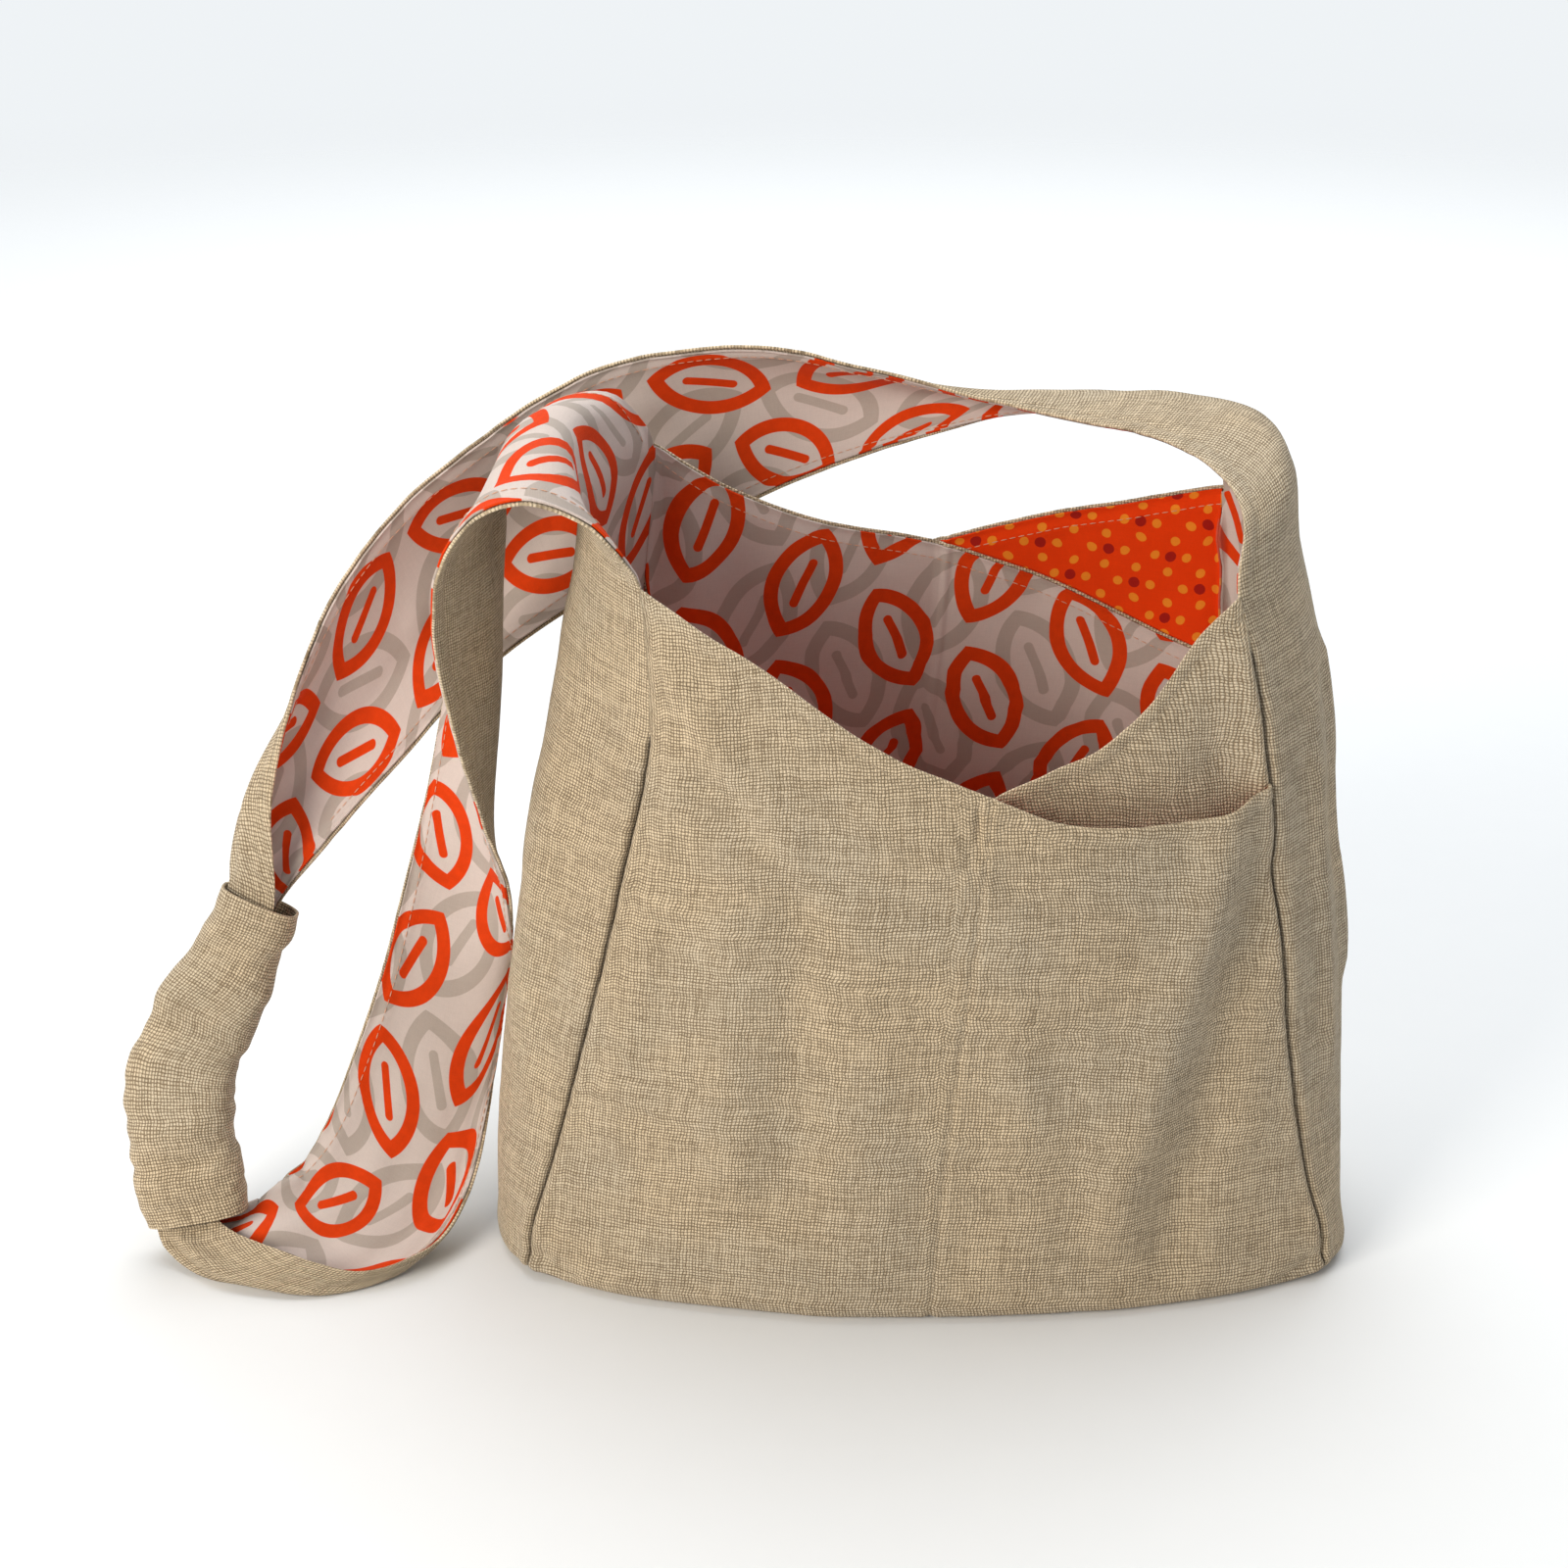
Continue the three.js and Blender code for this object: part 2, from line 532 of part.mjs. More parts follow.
// The straps meet end to end inside the sleeve
const leftStrap = strapGrid("Left", leftStrapRows, leftSleeveShares);
const rightStrap = strapGrid("Right", rightStrapRows, rightSleeveShares);
addCloth("left_strap", linen, leftStrap, 0, linenWall);
addCloth("left_strap_lining", print, leftStrap, liningStart, liningWall);
addCloth("right_strap", linen, rightStrap, 0, linenWall);
addCloth("right_strap_lining", print, rightStrap, liningStart, liningWall);
addSleeve("shoulder_sleeve", linen);

export default group;
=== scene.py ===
"""A slouching linen shoulder bag of two interlocking slings, with a printed lining.

Lengths are in metres in the frame's own axes: origin under the middle of the bag on the
floor, +X right, +Y back, +Z up.
"""
from functools import lru_cache

import bmesh
import bpy
import numpy as np
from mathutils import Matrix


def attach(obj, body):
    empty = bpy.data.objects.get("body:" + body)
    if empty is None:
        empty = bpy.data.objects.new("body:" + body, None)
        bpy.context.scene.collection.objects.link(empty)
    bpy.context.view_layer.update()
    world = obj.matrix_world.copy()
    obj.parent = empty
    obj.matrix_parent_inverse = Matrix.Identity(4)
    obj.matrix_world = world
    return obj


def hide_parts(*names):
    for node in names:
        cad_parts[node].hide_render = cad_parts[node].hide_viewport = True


bl_info = {
    "name": "Fabric Sling Bag",
    "version": (1, 0, 0),
    "blender": (4, 5, 0),
    "location": "View3D > Sidebar > Sling Bag",
    "description": "Builds the cloth, the stitching and the stage of a two-sling shoulder bag",
    "category": "Add Mesh",
}

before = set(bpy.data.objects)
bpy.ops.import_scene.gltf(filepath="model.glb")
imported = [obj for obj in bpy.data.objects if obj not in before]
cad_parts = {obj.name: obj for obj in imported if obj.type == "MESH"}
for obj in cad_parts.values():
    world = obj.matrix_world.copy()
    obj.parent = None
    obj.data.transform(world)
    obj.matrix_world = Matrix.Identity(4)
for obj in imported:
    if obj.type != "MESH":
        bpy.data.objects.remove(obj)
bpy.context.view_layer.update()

# Driving sizes
BAG_LENGTH = 0.342
BAG_DEPTH = 0.120
SEAM_HEIGHT = 0.320
BOTTOM_ROUND = 0.008
SLEEVE_WIDTH = 0.044
SLEEVE_THICKNESS = 0.024
SLEEVE_LENGTH = 0.165
HALF_LENGTH = BAG_LENGTH / 2
HALF_DEPTH = BAG_DEPTH / 2
LOOP = 2 * (BAG_LENGTH + BAG_DEPTH)

# Walls of the two cloths, the gap between cloths, the depths below the bag's outer face at
# which the lining and the inner panels start, and how far the lining's edge stays back
LINEN_WALL = 0.0012
LINING_WALL = 0.0010
CLOTH_GAP = 0.0003
LINING_START = LINEN_WALL + CLOTH_GAP
INNER_START = LINING_START + LINING_WALL + CLOTH_GAP
LINING_SETBACK = 0.0012
SETBACK_REACH = 0.003

# How far an inner panel hangs slack behind its pocket, gapes at the mouth and gives way by
# the corner, and how far from the seam it comes out above the outer panel
POCKET_SLACK = 0.0012
POCKET_GAPE = 0.012
POCKET_HOLLOW = 0.006
SEAM_MEETING = 0.022

# Power of the flat top of a face's bulge, and of the sleeve's squarish section
BULGE_FLATNESS = 2.4
SLEEVE_ROUNDNESS = 0.7

# The straps in the sleeve: their clearance, half the share of its length between their two
# ends, and the mouth of the folded channel as shares of the room for it
SLEEVE_GAP = 0.00105
STRAP_JOIN = 0.01
FOLDED_SPREAD = 0.8
FOLDED_MOUTH = 0.50

# Distances from an edge at which its hem has a line of vertices, the number of the line
# that carries the stitches, and the rows of the mesh round the bottom edge
HEM_LINES = np.array([0, 0.0004, 0.0012, 0.0022, 0.0032, 0.004, 0.0048, 0.006, 0.0078, 0.0102])
STITCH_LINE = 8
BOTTOM_ROWS = 5
# Rows at the end of a strap, inside the sleeve, that carry no stitches
HIDDEN_ROWS = 40
# A stitch: how flat it is, and how far it stands out in widths of its thread
THREAD_FLATNESS = 2.4
THREAD_RISE = 0.22


def table(names, rows):
    """Columns of a short table by name."""
    return dict(zip(names.split(), np.array(rows, float).T))


# Corner lines, side bulges and face bulges of the body, from the floor up. up and z are
# shares of the seam height, x of half the length and y of half the depth.
BODY = table(
    "up x_left_front x_left_rear x_right_front x_right_rear",
    [
        (0.00, -1.060, -1.04, 1.06, 1.04),
        (0.16, -0.960, -0.96, 0.96, 0.96),
        (0.37, -0.850, -0.88, 0.88, 0.88),
        (0.61, -0.745, -0.81, 0.82, 0.82),
        (0.81, -0.670, -0.74, 0.76, 0.79),
        (1.00, -0.690, -0.70, 0.66, 0.76),
        (1.08, -0.730, -0.70, 0.64, 0.75),
    ],
)
BULGE = table(
    "up y_front y_rear x_left y_left x_right y_right front rear",
    [
        (0.00, -1.10, 1.06, -1.12, -0.30, 1.12, -0.30, 0.55, 0.47),
        (0.16, -1.02, 1.03, -1.10, -0.30, 1.11, -0.28, 0.56, 0.47),
        (0.37, -1.00, 1.06, -1.06, -0.28, 1.09, -0.20, 0.52, 0.45),
        (0.61, -1.00, 1.12, -0.99, -0.22, 1.04, -0.10, 0.47, 0.40),
        (0.81, -1.00, 1.20, -0.91, -0.12, 0.99, 0.04, 0.42, 0.32),
        (1.00, -1.00, 1.26, -0.86, -0.04, 0.91, 0.20, 0.30, 0.22),
        (1.08, -1.00, 1.28, -0.85, 0.00, 0.88, 0.28, 0.25, 0.18),
    ],
)

# Top edges of the panels: across runs from the left seam to the right one.
FRONT_OUTER_EDGE = table("across up", [
    (0.00, 0.985), (0.10, 0.94), (0.19, 0.90), (0.36, 0.81), (0.55, 0.745),
    (0.66, 0.71), (0.76, 0.70), (0.90, 0.705), (1.00, 0.73),
])
FRONT_INNER_EDGE = table("across up", [
    (0.00, 0.56), (0.30, 0.63), (0.55, 0.735), (0.64, 0.76), (0.74, 0.79),
    (0.84, 0.85), (0.93, 0.925), (1.00, 0.975),
])
BACK_INNER_EDGE = table("across up", [
    (0.00, 1.05), (0.04, 1.03), (0.13, 0.99), (0.27, 0.95), (0.52, 0.895),
    (0.70, 0.845), (0.86, 0.785), (1.00, 0.74),
])
BACK_OUTER_EDGE = table("across up", [
    (0.00, 0.87), (0.20, 0.85), (0.40, 0.87), (0.52, 0.90), (0.71, 0.94),
    (0.84, 0.96), (1.00, 0.99),
])

# Straps from the top of the side panel to the sleeve: front edge, middle and rear edge.
# fold turns the section from an open bow into a folded channel.
STRAP_NAMES = "xF yF zF xM yM zM xR yR zR fold gather"
LEFT_STRAP = table(STRAP_NAMES, [
    (-0.74, -1.01, 1.03, -0.86, 0.02, 1.075, -0.72, 1.18, 1.08, 0, 0),
    (-0.82, -1.00, 1.07, -0.88, 0.06, 1.115, -0.78, 1.05, 1.12, 0, 0),
    (-0.93, -0.97, 1.09, -0.94, 0.12, 1.12, -0.87, 1.00, 1.125, 0, 0),
    (-1.04, -0.92, 1.075, -1.01, 0.18, 1.095, -0.96, 0.95, 1.10, 0, 0),
    (-1.14, -0.85, 1.01, -1.05, 0.22, 1.02, -1.05, 0.94, 1.03, 0, 0),
    (-1.17, -0.75, 0.91, -1.05, 0.24, 0.90, -1.13, 0.93, 0.90, 0, 0),
    (-1.14, -0.55, 0.75, -1.07, 0.28, 0.74, -1.22, 0.87, 0.74, 0, 0),
    (-1.09, -0.20, 0.59, -1.11, 0.36, 0.575, -1.29, 0.68, 0.58, 0, 0),
    (-1.06, 0.16, 0.45, -1.14, 0.44, 0.42, -1.35, 0.50, 0.46, 0, 0),
    (-1.09, 0.46, 0.32, -1.20, 0.34, 0.26, -1.42, 0.30, 0.33, 0, 0),
    (-1.13, 0.30, 0.18, -1.26, 0.00, 0.125, -1.50, 0.08, 0.215, 0.1, 0.1),
    (-1.16, -0.25, 0.085, -1.33, -0.50, 0.035, -1.56, -0.12, 0.14, 0.3, 0.3),
    (-1.24, -0.92, 0.04, -1.46, -0.96, 0.008, -1.62, -0.28, 0.09, 0.5, 0.5),
    (-1.42, -1.22, 0.025, -1.65, -1.14, 0.008, -1.66, -0.42, 0.08, 0.6, 0.8),
    (-1.61, -1.16, 0.05, -1.86, -1.02, 0.015, -1.69, -0.55, 0.065, 0.8, 1),
])
RIGHT_STRAP = table(STRAP_NAMES, [
    (0.70, -0.55, 1.05, 0.885, 0.36, 1.08, 0.75, 1.38, 1.025, 0, 0),
    (0.66, 0.00, 1.08, 0.83, 0.82, 1.125, 0.66, 1.55, 1.055, 0, 0),
    (0.53, 0.56, 1.095, 0.64, 1.18, 1.125, 0.48, 1.66, 1.07, 0, 0),
    (0.35, 1.02, 1.095, 0.40, 1.52, 1.11, 0.26, 1.72, 1.065, 0, 0),
    (0.12, 1.40, 1.105, 0.15, 1.76, 1.09, 0.05, 1.74, 1.035, 0, 0),
    (-0.15, 1.63, 1.135, -0.13, 1.93, 1.08, -0.16, 1.75, 1.00, 0, 0),
    (-0.47, 1.78, 1.155, -0.44, 2.02, 1.06, -0.42, 1.76, 0.94, 0, 0),
    (-0.82, 1.73, 1.13, -0.75, 1.96, 1.00, -0.67, 1.68, 0.865, 0, 0),
    (-1.12, 1.47, 1.05, -1.04, 1.72, 0.91, -0.93, 1.46, 0.79, 0, 0),
    (-1.36, 1.13, 0.955, -1.27, 1.36, 0.82, -1.17, 1.12, 0.71, 0, 0),
    (-1.52, 0.80, 0.845, -1.46, 1.02, 0.73, -1.36, 0.74, 0.615, 0.1, 0.1),
    (-1.61, 0.48, 0.72, -1.62, 0.74, 0.64, -1.49, 0.46, 0.55, 0.4, 0.3),
    (-1.66, 0.18, 0.60, -1.74, 0.46, 0.56, -1.57, 0.28, 0.505, 0.8, 0.6),
])
# Number of pleats beside the sleeve, and the shares down it where each strap is folded
PLEATS = 5
LEFT_SLEEVE_SHARES = (1, 0.83, 0.67, 0.5 + STRAP_JOIN)
RIGHT_SLEEVE_SHARES = (0, 0.17, 0.33, 0.5 - STRAP_JOIN)

# Middle line of the sleeve from its upper mouth to its lower one
SLEEVE = table("down x y z width", [
    (0.00, -1.70, 0.10, 0.465, 0.80),
    (0.17, -1.76, 0.00, 0.395, 0.86),
    (0.33, -1.85, -0.18, 0.315, 1.00),
    (0.50, -1.90, -0.38, 0.25, 1.04),
    (0.67, -1.905, -0.54, 0.18, 1.04),
    (0.83, -1.89, -0.64, 0.115, 1.02),
    (1.00, -1.87, -0.72, 0.055, 1.00),
])

# How far round each corner the cloth is softened, in metres
CORNER_SOFTNESS = table("up left_front right_front right_rear left_rear", [
    (0.00, 0.005, 0.005, 0.005, 0.005),
    (0.50, 0.004, 0.004, 0.004, 0.004),
    (0.80, 0.006, 0.005, 0.005, 0.005),
    (0.95, 0.014, 0.010, 0.008, 0.008),
    (1.10, 0.016, 0.012, 0.010, 0.010),
])
# Way round the bag of each corner
CORNER_WAYS = {
    "left_front": 0.0,
    "right_front": BAG_LENGTH,
    "right_rear": BAG_LENGTH + BAG_DEPTH,
    "left_rear": 2 * BAG_LENGTH + BAG_DEPTH,
}
# Places of the mean that softens the wall, in shares of that reach
SOFT_STEPS = np.linspace(-1.6, 1.6, 9)
# Share of the seam height at which each corner's seam ends, and the distance that is added
# to a point's own above that end, over a share of the height
SEAM_TOPS = {"left_front": 0.82, "right_front": 0.93, "right_rear": 0.97, "left_rear": 0.86}
UNSEWN = 0.01
UNSEWN_FADE = 0.03

# Corner seams: depth and spread of the groove, height and place of the roll on each side of
# it and the roll's spread, share and size of the puckers, and how far below its top it fades
SEAM_DEPTH = 0.0034
SEAM_SPREAD = 0.0009
SEAM_ROLL = 0.0007
ROLL_PLACE = 0.0045
ROLL_SPREAD = 0.003
SEAM_PUCKER = 0.5
PUCKER_SIZE = 0.007
SEAM_FADE = 0.05
# Heights between which the groove starts above the floor
GROOVE_START = (0.002, 0.010)
# How far the lower corners are drawn in, how far round the bag and how far up
CORNER_DRAW = 0.0025
CORNER_REACH = 0.016
CORNER_RISE = 0.030
# How far the front corner seams turn in at the floor
CORNER_HOOK = 0.0035

# Slack of the walls: height, waves round the bag, size of a wave upwards, seed
WALL_SLACK = (
    (0.0011, 21, 0.050, 3),
    (0.0005, 52, 0.021, 5),
    (0.00022, 110, 0.0095, 8),
)
# Share of the slack that is left at the floor, and the height where all of it is there
SLACK_LOW = 0.45
SLACK_RISE = 0.03
# Slack of the straps: height, size of a wave along, size aside, seed
STRAP_SLACK = ((0.0010, 0.045, 0.035, 21), (0.0004, 0.018, 0.016, 22))
# Slack of the sleeve: height, waves round it, waves down it, seed
SLEEVE_SLACK = ((0.0024, 4, 11, 41), (0.0008, 9, 27, 42))

# Broad folds of the body: a ridge (above 0) or a hollow between two places, each a way
# round the bag from the left front corner and a share of the seam height. In metres.
WALL_FOLDS = table("way up to_way to_up spread height", [
    (0.016, 0.86, 0.020, 0.30, 0.010, 0.0020),
    (0.030, 0.82, 0.085, 0.68, 0.009, 0.0018),
    (0.040, 0.74, 0.100, 0.58, 0.009, -0.0018),
    (0.060, 0.55, 0.080, 0.22, 0.013, 0.0022),
    (0.092, 0.58, 0.108, 0.20, 0.013, -0.0024),
    (0.010, 0.90, 0.046, 0.76, 0.007, 0.0022),
    (0.130, 0.50, 0.150, 0.12, 0.018, 0.0018),
    (0.120, 0.72, 0.180, 0.66, 0.009, 0.0014),
    (0.110, 0.63, 0.178, 0.60, 0.009, -0.0016),
    (0.200, 0.62, 0.250, 0.55, 0.010, -0.0014),
    (0.205, 0.52, 0.215, 0.15, 0.016, 0.0014),
    (0.316, 0.70, 0.250, 0.16, 0.013, 0.0048),
    (0.334, 0.60, 0.272, 0.08, 0.013, -0.0060),
    (0.225, 0.40, 0.235, 0.10, 0.012, -0.0012),
    (0.004, 0.038, 0.022, 0.016, 0.0030, -0.0040),
    (0.004, 0.018, 0.022, 0.002, 0.0040, 0.0020),
    (0.338, 0.038, 0.322, 0.016, 0.0030, -0.0040),
    (0.338, 0.018, 0.322, 0.002, 0.0040, 0.0020),
    (0.060, 0.12, 0.150, 0.07, 0.012, 0.0016),
    (0.200, 0.08, 0.290, 0.13, 0.012, 0.0014),
    (0.398, 1.02, 0.402, 0.08, 0.034, -0.0052),
    (0.356, 0.72, 0.360, 0.36, 0.005, -0.0014),
    (0.368, 0.80, 0.366, 0.30, 0.005, 0.0022),
    (0.384, 0.82, 0.380, 0.34, 0.005, -0.0012),
    (0.396, 0.84, 0.390, 0.42, 0.006, 0.0020),
    (0.870, 0.88, 0.880, 0.40, 0.014, 0.0022),
    (0.900, 0.80, 0.902, 0.35, 0.010, -0.0018),
    (0.835, 0.75, 0.830, 0.25, 0.014, -0.0022),
    (0.520, 0.70, 0.500, 0.25, 0.016, -0.0025),
    (0.640, 0.75, 0.650, 0.25, 0.020, 0.0025),
    (0.740, 0.65, 0.760, 0.20, 0.016, -0.0022),
])

# Folds of the straps: places are a way along from the side panel's top and a way from the
# strap's middle towards its rear edge.
LEFT_STRAP_FOLDS = table("way aside to_way to_aside spread height", [
    (0.010, -0.050, 0.060, -0.030, 0.010, 0.0020),
    (0.030, 0.030, 0.110, 0.010, 0.010, -0.0020),
    (0.110, 0.040, 0.200, 0.020, 0.012, 0.0024),
    (0.160, -0.030, 0.300, -0.010, 0.012, -0.0020),
    (0.300, 0.020, 0.420, 0.030, 0.014, 0.0020),
])
RIGHT_STRAP_FOLDS = table("way aside to_way to_aside spread height", [
    (0.000, 0.005, 0.055, 0.005, 0.030, -0.0050),
    (0.010, -0.040, 0.070, -0.020, 0.012, 0.0022),
    (0.050, 0.030, 0.120, 0.010, 0.012, -0.0022),
    (0.200, 0.010, 0.320, 0.020, 0.012, 0.0020),
    (0.330, -0.020, 0.460, 0.000, 0.012, -0.0020),
    (0.420, 0.020, 0.560, 0.010, 0.010, 0.0020),
])

# Middle seams of the front and the back: shares across at the floor and at a share of the
# seam height; depth and spread of the groove; height, place and spread of the roll
MIDDLE_SEAMS = {"front": (0.50, 0.547), "rear": (0.50, 0.52)}
MIDDLE_TOP = 0.75
MIDDLE_GROOVE = (0.0007, 0.0015)
MIDDLE_ROLL = (0.00025, 0.004, 0.0025)
# Shares across a face panel between which its mesh is finer, and that step in metres
FINE_MIDDLE = (0.485, 0.560)
FINE_STEP = 0.0013

# Bar tack below the overlap: shares across and up, and the depths of its dimple and of the
# fold that hangs beside it, with the height and reach of the rays round it
BAR_TACK = (0.520, 0.672)
TACK_DIMPLE = 0.0016
TACK_FOLD = 0.0016
TACK_RAYS = 0.0009
RAY_COUNT = 7
RAY_REACH = 0.016

# Hems: depth and spread of the stitched groove, height, place and spread of the swell, and
# height, size and reach of the puckers
HEM_GROOVE = (0.0005, 0.0011)
HEM_SWELL = (0.00045, 0.0032, 0.0026)
HEM_PUCKER = (0.00035, 0.0085, 0.006)

# Light: tints of the key light and of the rest, strength of the light from all round, how
# bright that light looks behind the bag, and the distances over which the floor ends
KEY_TINT = (1.0, 0.95, 0.87)
SKY_TINT = (0.94, 0.975, 1.0)
WORLD_LIGHT = 0.28
BACKDROP = 0.92
FLOOR_FADE = (1.9, 3.2)
# Area lights: place, turn, size, power
LIGHTS = {
    "key_light": ((-1.5, -1.45, 1.1), (1.143, 0.0, -0.802), 1.0, 38.0),
    "fill_light": ((1.2, -1.6, 1.0), (1.10, 0.0, 0.64), 1.6, 2.5),
    "top_light": ((0.1, 1.6, 3.0), (-0.45, 0.0, 0.0), 4.0, 145.0),
}
# Camera: its place on the plan, tilt in degrees, and lens and sensor in millimetres
CAMERA_PLACE = (-0.0616, -0.9925)
CAMERA_TILT = 66.0
CAMERA_LENS = 58.5
CAMERA_SENSOR = 36.0

EDGES = {
    "front_outer": FRONT_OUTER_EDGE,
    "front_inner": FRONT_INNER_EDGE,
    "back_inner": BACK_INNER_EDGE,
    "back_outer": BACK_OUTER_EDGE,
}
# Front and back panel of each sling
SLINGS = {"left": ("front_outer", "back_inner"), "right": ("front_inner", "back_outer")}

# Base: how far inside the outline it ends, its columns round the bag, the length of its
# middle line as a share of the outline's, and its rings as shares of the way inwards
BASE_INSET = 0.0018
BASE_COLUMNS = 241
BASE_SPINE = 0.62
BASE_RINGS = np.array([0, 0.02, 0.05, 0.1, 0.2, 0.35, 0.5, 0.65, 0.8, 0.92, 1.0])

# Weaves: distances of the threads, how much a thread's own tone shows, and how much the weave's low
# places are darkened as painted shade
LINEN_PITCH = 0.0014
COTTON_PITCH = 0.00045
THREAD_CONTRAST = 0.9
GAP_SHADE_CONTRAST = 1.6
THREAD_STRETCH = 0.09
# Slubs: how their streaks show, and their scales in x and y with the start of their noise
SLUB_CONTRAST = 0.7
SLUBS = ((0.75, 0.06, 0.0), (0.06, 0.75, 5.3), (0.6, 0.6, 9.1))

# Prints: soft rim of an edge, steps of the leaves, tilt of a leaf, length and half width of
# its vein as shares of the leaf's and the line's, pitch of the small dots
PRINT_BLUR = 0.0002
LEAF_COLUMN = 0.044
LEAF_ROW = 0.062
LEAF_TILT = 0.42
VEIN_LENGTH = 0.42
VEIN_WIDTH = 0.32
DOT_PITCH = 0.0146
# Colour of the painted shade in the seams of the cotton
SEAM_SHADE_COTTON = (0.25, 0.18, 0.15, 1)


def smooth(rows, key, name, at):
    """Hermite curve through one column; the slope at a row is that between its neighbours."""
    x, y = rows[key], rows[name]
    at = np.asarray(at, float)
    order = np.arange(len(x))
    low, high = np.maximum(order - 1, 0), np.minimum(order + 1, len(x) - 1)
    slope = (y[high] - y[low]) / (x[high] - x[low])
    i = np.clip(np.searchsorted(x, at, side="right") - 1, 0, len(x) - 2)
    span = x[i + 1] - x[i]
    t = (at - x[i]) / span
    h = t * t * (3 - 2 * t)
    lean = span * t * (1 - t) * ((1 - t) * slope[i] - t * slope[i + 1])
    return y[i] * (1 - h) + y[i + 1] * h + lean


def ease(start, end, value):
    """Step from 0 to 1 with level ends."""
    t = np.clip((np.asarray(value, float) - start) / (end - start), 0, 1)
    return t * t * (3 - 2 * t)


def bell(distance, spread):
    """Bell curve exp(-(distance / spread)^2)."""
    return np.exp(-((distance / spread) ** 2))


def mix(a, b, share):
    """Straight line from a to b."""
    return a + (b - a) * share


def unit(vectors):
    """Vectors of length 1."""
    return vectors / np.maximum(np.linalg.norm(vectors, axis=-1, keepdims=True), 1e-12)


def ripple(x, y, seed, around=64):
    """Smooth noise from -1 to 1: random values at whole points, joined by level steps.
    It repeats after around steps of x."""
    lattice = np.random.default_rng(seed).uniform(-1, 1, (around, 64))
    ix, iy = np.floor(x).astype(int), np.floor(y).astype(int)
    sx, sy = ease(0, 1, x - ix), ease(0, 1, y - iy)

    def value(dx, dy):
        return lattice[(ix + dx) % around, (iy + dy) % 64]

    return mix(mix(value(0, 0), value(1, 0), sx), mix(value(0, 1), value(1, 1), sx), sy)


def creases(folds, place, toward, x, y, loop=None):
    """Sum of folds: each has its height times exp(-(d / spread)^2) at a distance d from its
    line. place and toward name the table's columns of the line's start."""
    total = np.zeros(np.broadcast(x, y).shape)
    columns = (folds[place], folds[toward], folds["to_" + place], folds["to_" + toward])
    for x0, y0, x1, y1, spread, height in zip(*columns, folds["spread"], folds["height"]):
        dx, dy = x - x0, y - y0
        if loop:
            dx = (dx + loop / 2) % loop - loop / 2
        length = np.hypot(x1 - x0, y1 - y0)
        along = np.clip((dx * (x1 - x0) + dy * (y1 - y0)) / length**2, 0, 1)
        distance = np.hypot(dx - along * (x1 - x0), dy - along * (y1 - y0))
        total += height * bell(distance, spread)
    return total


def vector(x, y, z):
    """Array of points from arrays of coordinates."""
    return np.stack(np.broadcast_arrays(x, y, z), axis=-1).astype(float)


def draw_in(height):
    """How far the rounded bottom edge draws the wall in at a height above the floor."""
    below = np.maximum(BOTTOM_ROUND - height, 0)
    return BOTTOM_ROUND - np.sqrt(BOTTOM_ROUND**2 - below**2)


def corner(side, face, height):
    """A corner line of the body. side is left or right, face is front or rear."""
    up = height / SEAM_HEIGHT
    out = -1 if side == "left" else 1
    back = -1 if face == "front" else 1
    hook = CORNER_HOOK * (1 - ease(0, CORNER_RISE, height)) if face == "front" else 0
    x = HALF_LENGTH * smooth(BODY, "up", f"x_{side}_{face}", up)
    x = x - out * (draw_in(height) + hook)
    y = HALF_DEPTH * smooth(BULGE, "up", f"y_{face}", up) - back * draw_in(height)
    return vector(x, y, height)


def bow(front, middle, rear, fold, across):
    """Bowed section through three points: centre + depth cos(a) + half width times the
    share along, which is straight for fold 0 and sin(a) for fold 1."""
    angle = (across - 0.5) * np.pi
    along = mix(2 * across - 1, np.sin(angle), fold)
    centre, half = (front + rear) / 2, (rear - front) / 2
    return centre + (middle - centre) * np.cos(angle)[..., None] + half * along[..., None]


def body_lines(height):
    """The corner lines, middles and bulges of the body at an array of heights."""
    up = height / SEAM_HEIGHT
    lines = {face: HALF_DEPTH * smooth(BULGE, "up", face, up) for face in ("front", "rear")}
    for side, out in (("left", -1), ("right", 1)):
        for face in ("front", "rear"):
            lines[f"{side}_{face}"] = corner(side, face, height)
        x = HALF_LENGTH * smooth(BULGE, "up", f"x_{side}", up) - out * draw_in(height)
        lines[side] = vector(x, HALF_DEPTH * smooth(BULGE, "up", f"y_{side}", up), height)
    return lines


def bulged(start, end, bulge, across):
    """A face: straight from start to end, plus a bulge y = b (1 - |2 s - 1|^p) at a share s."""
    across = np.clip(across, 0, 1)
    points = mix(start, end, across[..., None])
    points[..., 1] += bulge * (1 - np.abs(2 * across - 1) ** BULGE_FLATNESS)
    return points


def bare_wall(way, lines):
    """The wall before its corners are softened, at a way round it from the left front
    corner: front and back are straight plus a flat-topped bulge, the sides are bows."""
    way = np.mod(way, LOOP)
    front = way / BAG_LENGTH
    right = (way - BAG_LENGTH) / BAG_DEPTH
    rear = (way - BAG_LENGTH - BAG_DEPTH) / BAG_LENGTH
    left = (way - 2 * BAG_LENGTH - BAG_DEPTH) / BAG_DEPTH
    walls = [
        bulged(lines["left_front"], lines["right_front"], -lines["front"], front),
        bow(lines["right_front"], lines["right"], lines["right_rear"], 0, right),
        bulged(lines["right_rear"], lines["left_rear"], lines["rear"], rear),
        bow(lines["left_rear"], lines["left"], lines["left_front"], 0, left),
    ]
    on = [front < 1, right < 1, rear < 1]
    return np.select([mask[..., None] for mask in on], walls[:3], walls[3])


def way_apart(way, place):
    """Signed way round the bag from a place, the short way."""
    return (way - place + LOOP / 2) % LOOP - LOOP / 2


